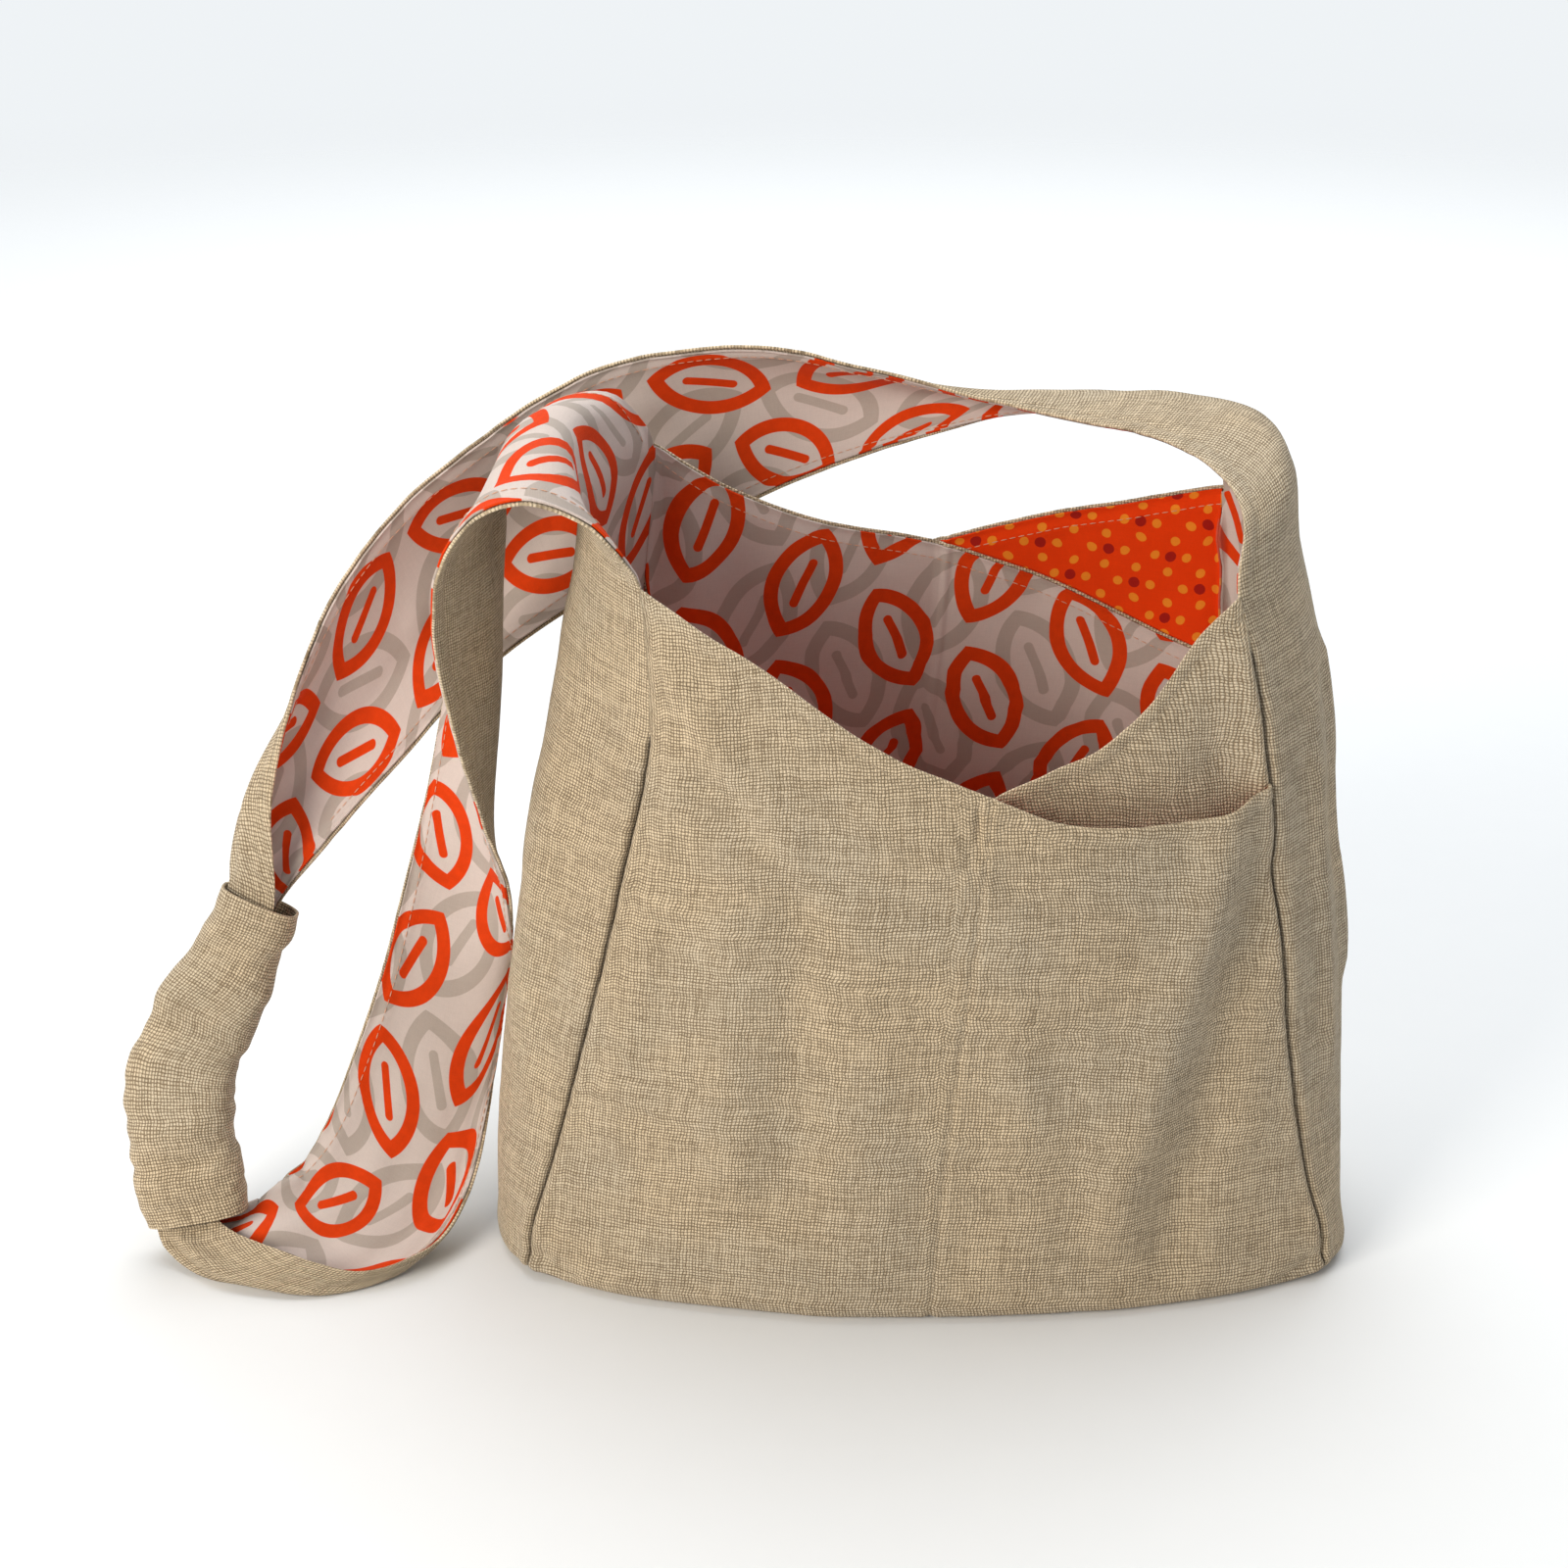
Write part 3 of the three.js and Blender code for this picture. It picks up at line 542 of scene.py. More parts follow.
def nearest_corner(way, values):
    """The value of the nearest corner, from a dictionary of them."""
    apart = np.stack([np.abs(way_apart(way, place)) for place in CORNER_WAYS.values()])
    return np.choose(np.argmin(apart, axis=0), [values[name] for name in CORNER_WAYS])


def softness(way, height):
    """Reach over which the wall is averaged, from the nearest corner's column."""
    up = height / SEAM_HEIGHT
    reach = {name: smooth(CORNER_SOFTNESS, "up", name, up) for name in CORNER_WAYS}
    return nearest_corner(way, reach)


def seam_end(way, height):
    """Distance that is added above a corner seam's end, where nothing is sewn."""
    top = nearest_corner(way, SEAM_TOPS)
    return UNSEWN * ease(top - UNSEWN_FADE, top, height / SEAM_HEIGHT)


def soft_wall(way, height):
    """Mean of the bare wall over a short way to either side, weighted by exp(-s^2)."""
    lines = body_lines(height)
    reach = softness(way, height)
    weights = np.exp(-(SOFT_STEPS**2))
    total = sum(w * bare_wall(way + s * reach, lines) for s, w in zip(SOFT_STEPS, weights))
    return total / weights.sum()


def middle_share(face, height):
    """Share across a face at which its middle seam lies at a height."""
    return mix(*MIDDLE_SEAMS[face], height / SEAM_HEIGHT / MIDDLE_TOP)


def corner_relief(way, height):
    """Corner seams, each a groove between two rolls with puckers, in drawn-in corners."""
    relief = 0
    for name, place in CORNER_WAYS.items():
        apart = way_apart(way, place)
        top = SEAM_TOPS[name]
        sewn = 1 - ease(top - SEAM_FADE, top, height / SEAM_HEIGHT)
        pucker = 1 + SEAM_PUCKER * ripple(height / PUCKER_SIZE, place * 9, 13)
        groove = SEAM_DEPTH * ease(*GROOVE_START, height) * bell(apart, SEAM_SPREAD)
        roll = SEAM_ROLL * bell(np.abs(apart) - ROLL_PLACE, ROLL_SPREAD)
        drawn = CORNER_DRAW * bell(apart, CORNER_REACH) * (1 - ease(0, CORNER_RISE, height))
        relief = relief + sewn * pucker * (roll - groove) - drawn
    return relief


def middle_relief(way, height):
    """The middle seam of a face: a groove and a soft roll."""
    front = middle_share("front", height) * BAG_LENGTH
    rear = BAG_LENGTH + BAG_DEPTH + (1 - middle_share("rear", height)) * BAG_LENGTH
    apart = np.minimum(np.abs(way_apart(way, front)), np.abs(way_apart(way, rear)))
    depth, spread = MIDDLE_GROOVE
    roll, place, roll_spread = MIDDLE_ROLL
    return roll * bell(apart - place, roll_spread) - depth * bell(apart, spread)


def tack_relief(way, height):
    """The bar tack: a dimple, rays h r cos(n a) round it and a fold that hangs beside it."""
    x = way_apart(way, BAR_TACK[0] * BAG_LENGTH)
    y = height - BAR_TACK[1] * SEAM_HEIGHT
    dimple = bell(x, 0.0045) * bell(y, 0.010)
    hanging = ease(-0.006, 0.002, y) * (1 - ease(0.016, 0.024, y))
    fold = bell(x - 0.004 + 0.10 * y, 0.0018) * hanging
    away = np.hypot(x, y)
    rays = np.cos(RAY_COUNT * np.arctan2(y, x)) * away / 0.012 * bell(away, RAY_REACH)
    return TACK_RAYS * rays - TACK_DIMPLE * dimple - TACK_FOLD * fold


def wall_relief(way, height):
    """How far the cloth stands out of the soft wall: folds, slack and seam grooves."""
    folds = dict(WALL_FOLDS)
    folds["up"], folds["to_up"] = folds["up"] * SEAM_HEIGHT, folds["to_up"] * SEAM_HEIGHT
    way = np.mod(way, LOOP)
    relief = creases(folds, "way", "up", way, height, LOOP)
    for size, around, upwards, seed in WALL_SLACK:
        relief = relief + size * ripple(way / LOOP * around, height / upwards, seed, around)
    relief = relief * mix(SLACK_LOW, 1, ease(0, SLACK_RISE, height))
    return relief + corner_relief(way, height) + middle_relief(way, height) + tack_relief(way, height)


def wall(way, height):
    """Point and unit vector inwards of the outer cloth at a way round and a height: the
    soft wall plus its relief along the soft wall's own normal."""
    step = 0.0012
    low = np.maximum(height - step, 0)
    around = soft_wall(way + step, height) - soft_wall(way - step, height)
    upward = soft_wall(way, height + step) - soft_wall(way, low)
    out = unit(np.cross(around, upward))
    return soft_wall(way, height) + out * wall_relief(way, height)[..., None], -out


def spaced(length, step):
    """Shares of a length with hem lines near both ends and even steps between."""
    inner = HEM_LINES[-1]
    count = max(int(round((length - 2 * inner) / step)), 2)
    even = np.linspace(inner, length - inner, count + 1)[1:-1]
    return np.concatenate([HEM_LINES, even, length - HEM_LINES[::-1]]) / length


def face_shares(step):
    """Shares across a face panel, in finer steps by its middle seam and its bar tack."""
    share = spaced(BAG_LENGTH, step)
    start, end = FINE_MIDDLE
    away = np.abs(share - (start + end) / 2) > (end - start) / 2 + FINE_STEP / BAG_LENGTH
    fine = np.arange(start, end, FINE_STEP / BAG_LENGTH)
    return np.sort(np.concatenate([share[away], fine]))


def row_heights(top, step):
    """Heights of a grid's rows below an array of tops: round the bottom edge, even ones,
    then the hem's lines."""
    turn = np.arange(BOTTOM_ROWS) / BOTTOM_ROWS * np.pi / 2
    low = np.repeat((BOTTOM_ROUND * (1 - np.cos(turn)))[:, None], len(top), axis=1)
    count = int(round(0.8 * SEAM_HEIGHT / step))
    share = np.linspace(0, 1, count)[:, None]
    even = mix(BOTTOM_ROUND, (top - HEM_LINES[-1])[None, :], share)
    hem = top[None, :] - HEM_LINES[::-1][1:, None]
    return np.concatenate([low, even, hem])


def panel_way(panel, across):
    """Way round the bag of a share across a panel, from left to right or front to rear."""
    return {
        "front": across * BAG_LENGTH,
        "right": BAG_LENGTH + across * BAG_DEPTH,
        "rear": BAG_LENGTH + BAG_DEPTH + (1 - across) * BAG_LENGTH,
        "left": LOOP - across * BAG_DEPTH,
    }[panel]


def side_top(side, across):
    """Height at which a side panel turns into its strap."""
    if side == "left":
        return SEAM_HEIGHT * mix(FRONT_OUTER_EDGE["up"][0], BACK_INNER_EDGE["up"][0], across)
    return SEAM_HEIGHT * mix(FRONT_INNER_EDGE["up"][-1], BACK_OUTER_EDGE["up"][-1], across)


class Surface:
    """The outer face of a run of cloth: a grid of points with vectors inwards, a map of
    running lengths, and the distance of each point from the hem and from a seam. The map
    of a plumb one follows the upright and the level, whatever the slant of its rows."""

    def __init__(self, points, inward, hem, seam, flip, plumb=False):
        self.points = points
        self.inward = inward
        self.hem = hem
        self.seam = seam
        self.flip = flip
        across = np.linalg.norm(np.diff(points, axis=1), axis=2)
        along = np.linalg.norm(np.diff(points, axis=0), axis=2)
        rows, columns = hem.shape
        level = np.linalg.norm(np.diff(points[..., :2], axis=1), axis=2) if plumb else across
        run = np.concatenate([np.zeros((rows, 1)), np.cumsum(level, axis=1)], axis=1)
        steps = along if plumb else np.repeat(along.mean(axis=1)[:, None], columns, axis=1)
        rise = np.concatenate([np.zeros((1, columns)), np.cumsum(steps, axis=0)])
        self.map = np.stack([run - run[:, -1:] / 2, rise], axis=-1)
        self.width = float(run[:, -1].max())
        self.length = float(np.cumsum(along, axis=0)[-1].max())
        self.area = float((across[:-1] * along[:, :-1]).sum())

    def layer(self, depth, setback=0.0):
        """The grid at a depth below the outer face. A setback draws its edge in from the
        hem's rim, less and less away from it."""
        depth = np.broadcast_to(depth, self.hem.shape)
        points = self.points + self.inward * depth[..., None]
        if setback:
            away = 0
            for axis, slope in enumerate(np.gradient(self.hem)):
                turn = np.sign(slope) * (np.abs(slope) > 1e-5)
                away = away + unit(np.gradient(self.points, axis=axis)) * turn[..., None]
            drawn = setback * np.exp(-self.hem / SETBACK_REACH)
            points = points + unit(away) * drawn[..., None]
        return points


@lru_cache(maxsize=None)
def face_surface(panel, edge_name, step):
    """Front or back panel below a top edge."""
    share = face_shares(step)
    top = SEAM_HEIGHT * smooth(EDGES[edge_name], "across", "up", share)
    height = row_heights(top, step)
    way = np.broadcast_to(panel_way(panel, share), height.shape)
    points, inward = wall(way, height)
    hem = top[None, :] - height
    seam = np.minimum(share, 1 - share)[None, :] * BAG_LENGTH + seam_end(way, height)
    return Surface(points, inward, hem, seam, panel == "rear", plumb=True)


def sleeve_axes(down):
    """Middle, wide and deep axes, and width of the sleeve at an array of shares down it."""

    def at(share):
        x, y, z = (smooth(SLEEVE, "down", axis, share) for axis in "xyz")
        return vector(HALF_LENGTH * x, HALF_DEPTH * y, SEAM_HEIGHT * z)

    step = 0.01
    forward = unit(at(down + step) - at(down - step))
    wide = unit(np.array([1.0, 0, 0]) - forward * forward[..., :1])
    deep = unit(np.cross(wide, forward))
    return at(down), wide, deep, SLEEVE_WIDTH * smooth(SLEEVE, "down", "width", down)


def folded_section(down, across, wall_thickness):
    """The strap folded into a channel inside the sleeve, with its mouth to the right."""
    centre, wide, deep, width = sleeve_axes(np.array(float(down)))
    reach = width / 2 - wall_thickness - SLEEVE_GAP
    spread = FOLDED_SPREAD * (SLEEVE_THICKNESS / 2 - wall_thickness - SLEEVE_GAP)
    mouth = centre + wide * FOLDED_MOUTH * reach
    return bow(mouth - deep * spread, centre - wide * reach, mouth + deep * spread, 1, across)


def strap_section(rows, index, across):
    """Section of a strap at one row of its table."""
    sizes = np.array([HALF_LENGTH, HALF_DEPTH, SEAM_HEIGHT])
    front, middle, rear = (
        sizes * [rows[axis + letter][index] for axis in "xyz"] for letter in "FMR"
    )
    return bow(front, middle, rear, rows["fold"][index], across)


def smooth_lines(sections, counts):
    """Centripetal curves through a stack of sections, one for each column, with a number of
    steps for each stretch between two sections."""
    before = 2 * sections[0] - sections[1]
    after = 2 * sections[-1] - sections[-2]
    p = np.concatenate([before[None], sections, after[None]])
    gap = np.maximum(np.linalg.norm(np.diff(p, axis=0), axis=2, keepdims=True), 1e-9) ** 0.5
    rows = [sections[:1]]
    for k, count in enumerate(counts):
        d0, d1, d2 = gap[k], gap[k + 1], gap[k + 2]
        p0, p1, p2, p3 = p[k : k + 4]
        t1 = ((p1 - p0) / d0 - (p2 - p0) / (d0 + d1) + (p2 - p1) / d1) * d1
        t2 = ((p2 - p1) / d1 - (p3 - p1) / (d1 + d2) + (p3 - p2) / d2) * d1
        t = (np.arange(1, count + 1) / count)[:, None, None]
        rows.append(p1 + t1 * t + (3 * (p2 - p1) - 2 * t1 - t2) * t**2
                    + (2 * (p1 - p2) + t1 + t2) * t**3)
    return np.concatenate(rows)


def strap_relief(side, along, aside, across, pleats, gather_depth):
    """Folds and slack of a strap. Where pleats goes to 1 they give way to rounded pleats,
    depth (1 + sin(2 pi n s)) at a share s across, which fade out at both hems."""
    folds = LEFT_STRAP_FOLDS if side == "left" else RIGHT_STRAP_FOLDS
    relief = creases(folds, "way", "aside", along, aside)
    for size, long, wide, seed in STRAP_SLACK:
        relief += size * ripple(along / long, aside / wide + 9, seed)
    relief *= ease(0, 0.04, along)
    wave = np.sin(2 * np.pi * (PLEATS * across[None, :] + 0.12 * ripple(along / 0.03, 0.0, 7)))
    from_hem = ease(0, 0.2, np.minimum(across, 1 - across))[None, :]
    return relief * (1 - pleats) + pleats * from_hem * gather_depth * (1 + wave)


@lru_cache(maxsize=None)
def side_surface(side, step, linen_wall, gather_depth):
    """A side panel that runs on into its strap: the wall up to the panel's top, then smooth
    lines through the strap's sections, with folds, and gathers beside the sleeve."""
    rows = LEFT_STRAP if side == "left" else RIGHT_STRAP
    shares = LEFT_SLEEVE_SHARES if side == "left" else RIGHT_SLEEVE_SHARES
    across = spaced(BAG_DEPTH, step)
    top = side_top(side, across)
    height = row_heights(top, step)
    way = np.broadcast_to(panel_way(side, across), height.shape)
    panel, panel_inward = wall(way, height)

    below, _ = wall(panel_way(side, across), top - SEAM_HEIGHT / 6)
    sections = [below, panel[-1]]
    sections += [strap_section(rows, index, across) for index in range(len(rows["fold"]))]
    sections += [folded_section(share, across, linen_wall) for share in shares]
    sections = np.array(sections)
    lengths = np.linalg.norm(np.diff(sections, axis=0), axis=2).mean(axis=1)
    counts = np.maximum(np.round(lengths / step).astype(int), 2)
    lines = smooth_lines(sections, counts)[counts[0] + 1 :]
    place = np.concatenate([k + np.arange(1, n + 1) / n for k, n in enumerate(counts)])
    place = place[counts[0] :]

    run = np.linalg.norm(np.diff(lines, axis=1, prepend=lines[:, :1]), axis=2).cumsum(axis=1)
    aside = run - run[:, -1:] / 2
    steps = np.linalg.norm(np.diff(np.concatenate([panel[-1:], lines]), axis=0), axis=2)
    along = steps.mean(axis=1).cumsum()[:, None]
    gather = np.concatenate([[0, 0], rows["gather"], [0.6] + [0] * (len(shares) - 1)])
    pleats = np.interp(place, np.arange(len(gather)), gather)[:, None]
    entry = len(gather) - len(shares)
    relief = strap_relief(side, along, aside, across, pleats, gather_depth)
    relief *= 1 - ease(entry - 0.4, entry, place)[:, None]
    grid = np.concatenate([panel, lines])
    into = unit(np.cross(np.gradient(grid, axis=1), np.gradient(grid, axis=0)))[len(panel) :]
    into = into if side == "left" else -into
    lines = lines - into * relief[..., None]
    lines[..., 2] -= np.minimum(lines[..., 2].min(axis=1, keepdims=True), 0)

    edge = np.minimum(across, 1 - across)[None, :] * BAG_DEPTH
    panel_seam = edge + seam_end(way, height)
    hem = np.concatenate([np.ones(panel_seam.shape), np.broadcast_to(edge, aside.shape)])
    hem[len(panel) - 3 : len(panel)] = edge
    seam = np.concatenate([panel_seam, np.ones(aside.shape)])
    surface = Surface(np.concatenate([panel, lines]), np.concatenate([panel_inward, into]),
                      hem, seam, side == "left")
    surface.panel_rows = len(panel)
    return surface


def hem_depth(surface):
    """Depth of a hem's outer face below the bare surface: a groove along the stitches,
    soft swells on both sides of it, and shallow puckers that fade inwards."""
    d = surface.hem
    groove, groove_spread = HEM_GROOVE
    swell, place, swell_spread = HEM_SWELL
    pucker, size, reach = HEM_PUCKER
    along, aside = surface.map[..., 1] / size, surface.map[..., 0] / size
    puckers = pucker * ripple(along + aside, along * 0.3, 31) * np.exp(-d / reach)
    stitched = groove * bell(d - HEM_LINES[STITCH_LINE], groove_spread)
    return stitched - swell * bell(d - place, swell_spread) - puckers


def behind_pocket(surface, end, mouth_name):
    """Depth of an inner panel: it stands away from the pocket's mouth near one end, and
    comes out to the seams above the outer panel's edge, where the two slings meet."""
    share = face_shares(bpy.context.scene.bag_sizes.mesh_step)
    mouth = SEAM_HEIGHT * smooth(EDGES[mouth_name], "across", "up", share)[None, :]
    from_seam = 1 - share if end == "right" else share
    way = from_seam[None, :] * BAG_LENGTH
    spread = np.sin(np.pi * np.clip(2 * from_seam, 0, 1))[None, :]
    height = surface.points[..., 2]
    gape = POCKET_GAPE * spread * ease(0.3, 1, height / mouth)
    depth = INNER_START + POCKET_SLACK * np.sin(np.pi * share)[None, :] + gape
    meeting = (1 - ease(0.0, SEAM_MEETING, way)) * ease(-0.012, 0.001, height - mouth)
    at_mouth = ease(0.55, 1, height / mouth) * (1 - ease(0.0, 0.05, height - mouth))
    return depth - INNER_START * meeting + POCKET_HOLLOW * bell(way - 0.024, 0.016) * at_mouth


def cloth_mesh(name, layers):
    """One mesh from grids of (surface, points): faces point out of the bag, coincident
    seams are welded, and the map and the hem and seam distances go with the vertices."""
    faces, start = [], 0
    for surface, _ in layers:
        rows, columns = surface.hem.shape
        index = start + np.arange(rows * columns).reshape(rows, columns)
        quads = np.stack([index[:-1, :-1], index[:-1, 1:], index[1:, 1:], index[1:, :-1]], -1)
        quads = quads.reshape(-1, 4)
        faces.append(quads[:, ::-1] if surface.flip else quads)
        start += rows * columns
    surfaces = [surface for surface, _ in layers]
    mesh = build_mesh(name, np.concatenate([points.reshape(-1, 3) for _, points in layers]),
                      np.concatenate(faces))
    corners = np.concatenate(faces).ravel()
    maps = np.concatenate([surface.map.reshape(-1, 2) for surface in surfaces])
    mesh.uv_layers.new(name="cloth").data.foreach_set("uv", maps[corners].ravel())
    for key in ("hem", "seam"):
        values = np.concatenate([getattr(surface, key).ravel() for surface in surfaces])
        mesh.attributes.new(key, "FLOAT", "POINT").data.foreach_set("value", values)
    return mesh


def build_mesh(name, vertices, faces):
    """Smooth mesh from arrays of vertices and of faces with one number of corners."""
    mesh = bpy.data.meshes.new(name)
    count, sides = faces.shape
    mesh.vertices.add(len(vertices))
    mesh.vertices.foreach_set("co", vertices.ravel())
    mesh.loops.add(count * sides)
    mesh.loops.foreach_set("vertex_index", faces.ravel())
    mesh.polygons.add(count)
    mesh.polygons.foreach_set("loop_start", np.arange(count) * sides)
    mesh.update(calc_edges=True)
    mesh.polygons.foreach_set("use_smooth", np.ones(count, bool))
    return mesh


def new_piece(name, mesh, material):
    """Object of a mesh with a material, in the scene."""
    piece = bpy.data.objects.new(name, mesh)
    mesh.materials.append(material)
    bpy.context.scene.collection.objects.link(piece)
    return piece


def sew(name, layers, material, wall_thickness, nodes):
    """A cloth piece from grids: welded where the grids meet and given its wall inwards. A sling's
    strap and its face panels are cut side by side from one length of cloth."""
    mesh = cloth_mesh(name, layers)
    work = bmesh.new()
    work.from_mesh(mesh)
    rim = [v for v in work.verts if v.is_boundary]
    bmesh.ops.remove_doubles(work, verts=rim, dist=2e-5)
    work.to_mesh(mesh)
    work.free()
    piece = new_piece(name, mesh, material)
    shell = piece.modifiers.new("cloth wall", "SOLIDIFY")
    shell.thickness = wall_thickness
    shell.offset = -1
    first, *panels = [surface for surface, _ in layers]
    length = max(first.length, sum(panel.width for panel in panels))
    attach(piece, "root")
    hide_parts(*nodes)
    return piece


# Shader graphs


class Graph:
    """Short calls that add nodes to a tree and join them."""

    def __init__(self, tree):
        self.tree = tree

    def put(self, socket, value):
        if isinstance(value, bpy.types.NodeSocket):
            self.tree.links.new(value, socket)
        else:
            socket.default_value = value

    def fill(self, sockets, values):
        for key, value in values.items():
            self.put(sockets[key], value)

    def add(self, kind, inputs=None, **settings):
        """A node with its settings and inputs, as its outputs."""
        node = self.tree.nodes.new("ShaderNode" + kind)
        for key, value in settings.items():
            setattr(node, key, value)
        self.fill(node.inputs, inputs or {})
        return node.outputs

    def math(self, operation, *values):
        return self.add("Math", dict(enumerate(values)), operation=operation)[0]

    def times(self, a, b):
        return self.math("MULTIPLY", a, b)

    def plus(self, a, b):
        return self.math("ADD", a, b)

    def minus(self, a, b):
        return self.math("SUBTRACT", a, b)

    def over(self, a, b):
        return self.math("DIVIDE", a, b)

    def line(self, value, slope, start):
        """start + slope times the value."""
        return self.math("MULTIPLY_ADD", value, slope, start)

    def in_cell(self, value):
        """Place in a cell of size 1, from -0.5 to 0.5."""
        return self.minus(self.math("FRACT", value), 0.5)

    def blend(self, factor, a, b):
        """Colour between two colours."""
        return self.add("Mix", {0: factor, 6: a, 7: b}, data_type="RGBA")[2]

    def between(self, factor, a, b):
        """Value between two values."""
        return self.add("Mix", {0: factor, 2: a, 3: b}, data_type="FLOAT")[0]

    def span(self, value, low, high, to_low=0.0, to_high=1.0, shape="SMOOTHSTEP"):
        """The value's run from low to high, as one from to_low to to_high."""
        inputs = {"Value": value, "From Min": low, "From Max": high,
                  "To Min": to_low, "To Max": to_high}
        return self.add("MapRange", inputs, interpolation_type=shape)["Result"]

    def inside(self, distance, edge):
        """Mask that is 1 where a distance is below an edge, with a soft rim."""
        return self.span(distance, self.plus(edge, PRINT_BLUR), self.minus(edge, PRINT_BLUR))

    def split(self, vector_socket):
        return self.add("SeparateXYZ", {"Vector": vector_socket})

    def join(self, x, y, z=0.0):
        return self.add("CombineXYZ", {"X": x, "Y": y, "Z": z})[0]

    def length(self, x, y):
        return self.add("VectorMath", {0: self.join(x, y)}, operation="LENGTH")["Value"]

    def noise(self, vector_socket, scale, detail=2.0, roughness=0.5):
        inputs = {"Vector": vector_socket, "Scale": scale, "Detail": detail, "Roughness": roughness}
        return self.add("TexNoise", inputs)["Fac"]

    def group(self, tree, inputs):
        return self.add("Group", inputs, node_tree=tree)

    def relief(self, strength, distance, height):
        inputs = {"Strength": strength, "Distance": distance, "Height": height}
        return self.add("Bump", inputs)["Normal"]


def new_group(name, inputs, outputs):
    """Empty node group that takes a vector and values with defaults, and puts out values."""
    tree = bpy.data.node_groups.new(name, "ShaderNodeTree")
    for label, value in inputs.items():
        kind = "NodeSocketVector" if value is None else "NodeSocketFloat"
        socket = tree.interface.new_socket(label, in_out="INPUT", socket_type=kind)
        if value is not None:
            socket.default_value = value
    for label in outputs:
        tree.interface.new_socket(label, in_out="OUTPUT", socket_type="NodeSocketFloat")
    given, out = tree.nodes.new("NodeGroupInput"), tree.nodes.new("NodeGroupOutput")
    return Graph(tree), given.outputs, out.inputs


def weave_group():
    """Plain weave: at each crossing the warp or the weft lies on top, by turns, and every thread has
    its own slow change of tone and thickness. The tone is also darker where a thread lies low, as
    painted shade in the gaps of the weave."""
    if "plain weave" in bpy.data.node_groups:
        return bpy.data.node_groups["plain weave"]
    graph, given, out = new_group("plain weave", {"Map": None, "Pitch": 0.001, "Slub": 0.5},
                                  ["Height", "Tone"])
    place = graph.split(given["Map"])
    wobble = graph.times(graph.minus(graph.noise(given["Map"], 180.0, 1.0), 0.5), 0.9)
    x = graph.plus(graph.over(place["X"], given["Pitch"]), wobble)
    y = graph.plus(graph.over(place["Y"], given["Pitch"]), wobble)
    thread_x, thread_y = graph.math("FLOOR", x), graph.math("FLOOR", y)
    off_x, off_y = graph.in_cell(x), graph.in_cell(y)
    square_x, square_y = graph.times(off_x, off_x), graph.times(off_y, off_y)
    warp_on_top = graph.math("FLOORED_MODULO", graph.plus(thread_x, thread_y), 2.0)

    def thread(across, along):
        return graph.times(graph.line(across, -4.0, 1.0), graph.line(along, -2.4, 1.0))

    height = graph.between(warp_on_top, thread(square_y, square_x), thread(square_x, square_y))
    warp = graph.noise(graph.join(thread_x, graph.times(y, THREAD_STRETCH)), 1.31, 1.0)
    weft = graph.noise(graph.join(graph.times(x, THREAD_STRETCH), thread_y, 7.7), 1.27, 1.0)
    thread_tone = graph.minus(graph.between(warp_on_top, weft, warp), 0.5)
    graph.put(out["Height"], graph.plus(height, graph.times(thread_tone, given["Slub"])))
    tone = graph.line(thread_tone, THREAD_CONTRAST, 0.5)
    for scale_x, scale_y, start in SLUBS:
        streak = graph.join(graph.times(x, scale_x), graph.times(y, scale_y), start)
        off = graph.minus(graph.noise(streak, 1.0, 1.0), 0.5)
        tone = graph.line(off, SLUB_CONTRAST, tone)
    # Painted shade: the tone drops where the weave's height is low, in the gaps between the threads
    graph.put(out["Tone"], graph.line(graph.minus(height, 0.6), GAP_SHADE_CONTRAST, tone))
    return graph.tree


def leaf_group():
    """Rows of open leaves, tilted by turns, each column half a step below the last. A leaf
    is the overlap of two circles: f = length(|x| + c, y) - R is 0 on its outline."""
    if "leaf rows" in bpy.data.node_groups:
        return bpy.data.node_groups["leaf rows"]
    sizes = {"Column": 0.04, "Row": 0.058, "Leaf Length": 0.05, "Leaf Width": 0.024, "Line": 0.004}
    graph, given, out = new_group("leaf rows", {"Map": None, **sizes}, ["Outline"])
    place = graph.split(given["Map"])
    column = graph.over(place["X"], given["Column"])
    number = graph.math("FLOOR", column)
    odd = graph.math("FLOORED_MODULO", number, 2.0)
    row = graph.line(odd, 0.5, graph.over(place["Y"], given["Row"]))
    x = graph.times(graph.in_cell(column), given["Column"])
    y = graph.times(graph.in_cell(row), given["Row"])
    turns = graph.math("FLOORED_MODULO", graph.plus(graph.math("FLOOR", row), number), 2.0)
    cosine = float(np.cos(LEAF_TILT))
    sine = graph.times(graph.line(turns, 2.0, -1.0), float(np.sin(LEAF_TILT)))
    leaf_x = graph.line(x, cosine, graph.times(y, sine))
    leaf_y = graph.minus(graph.times(y, cosine), graph.times(x, sine))
    half_length = graph.times(given["Leaf Length"], 0.5)
    half_width = graph.times(given["Leaf Width"], 0.5)
    square = graph.minus(graph.times(half_length, half_length),
                         graph.times(half_width, half_width))
    centre = graph.over(square, given["Leaf Width"])
    radius = graph.plus(centre, half_width)
    from_centre = graph.length(graph.plus(graph.math("ABSOLUTE", leaf_x), centre), leaf_y)
    off_outline = graph.math("ABSOLUTE", graph.minus(from_centre, radius))
    outline = graph.inside(off_outline, graph.times(given["Line"], 0.5))
    vein_end = graph.times(half_length, VEIN_LENGTH)
    beyond = graph.math("MAXIMUM", graph.minus(graph.math("ABSOLUTE", leaf_y), vein_end), 0.0)
    vein = graph.inside(graph.length(leaf_x, beyond), graph.times(given["Line"], VEIN_WIDTH))
    graph.put(out["Outline"], graph.math("MAXIMUM", outline, vein))
    return graph.tree


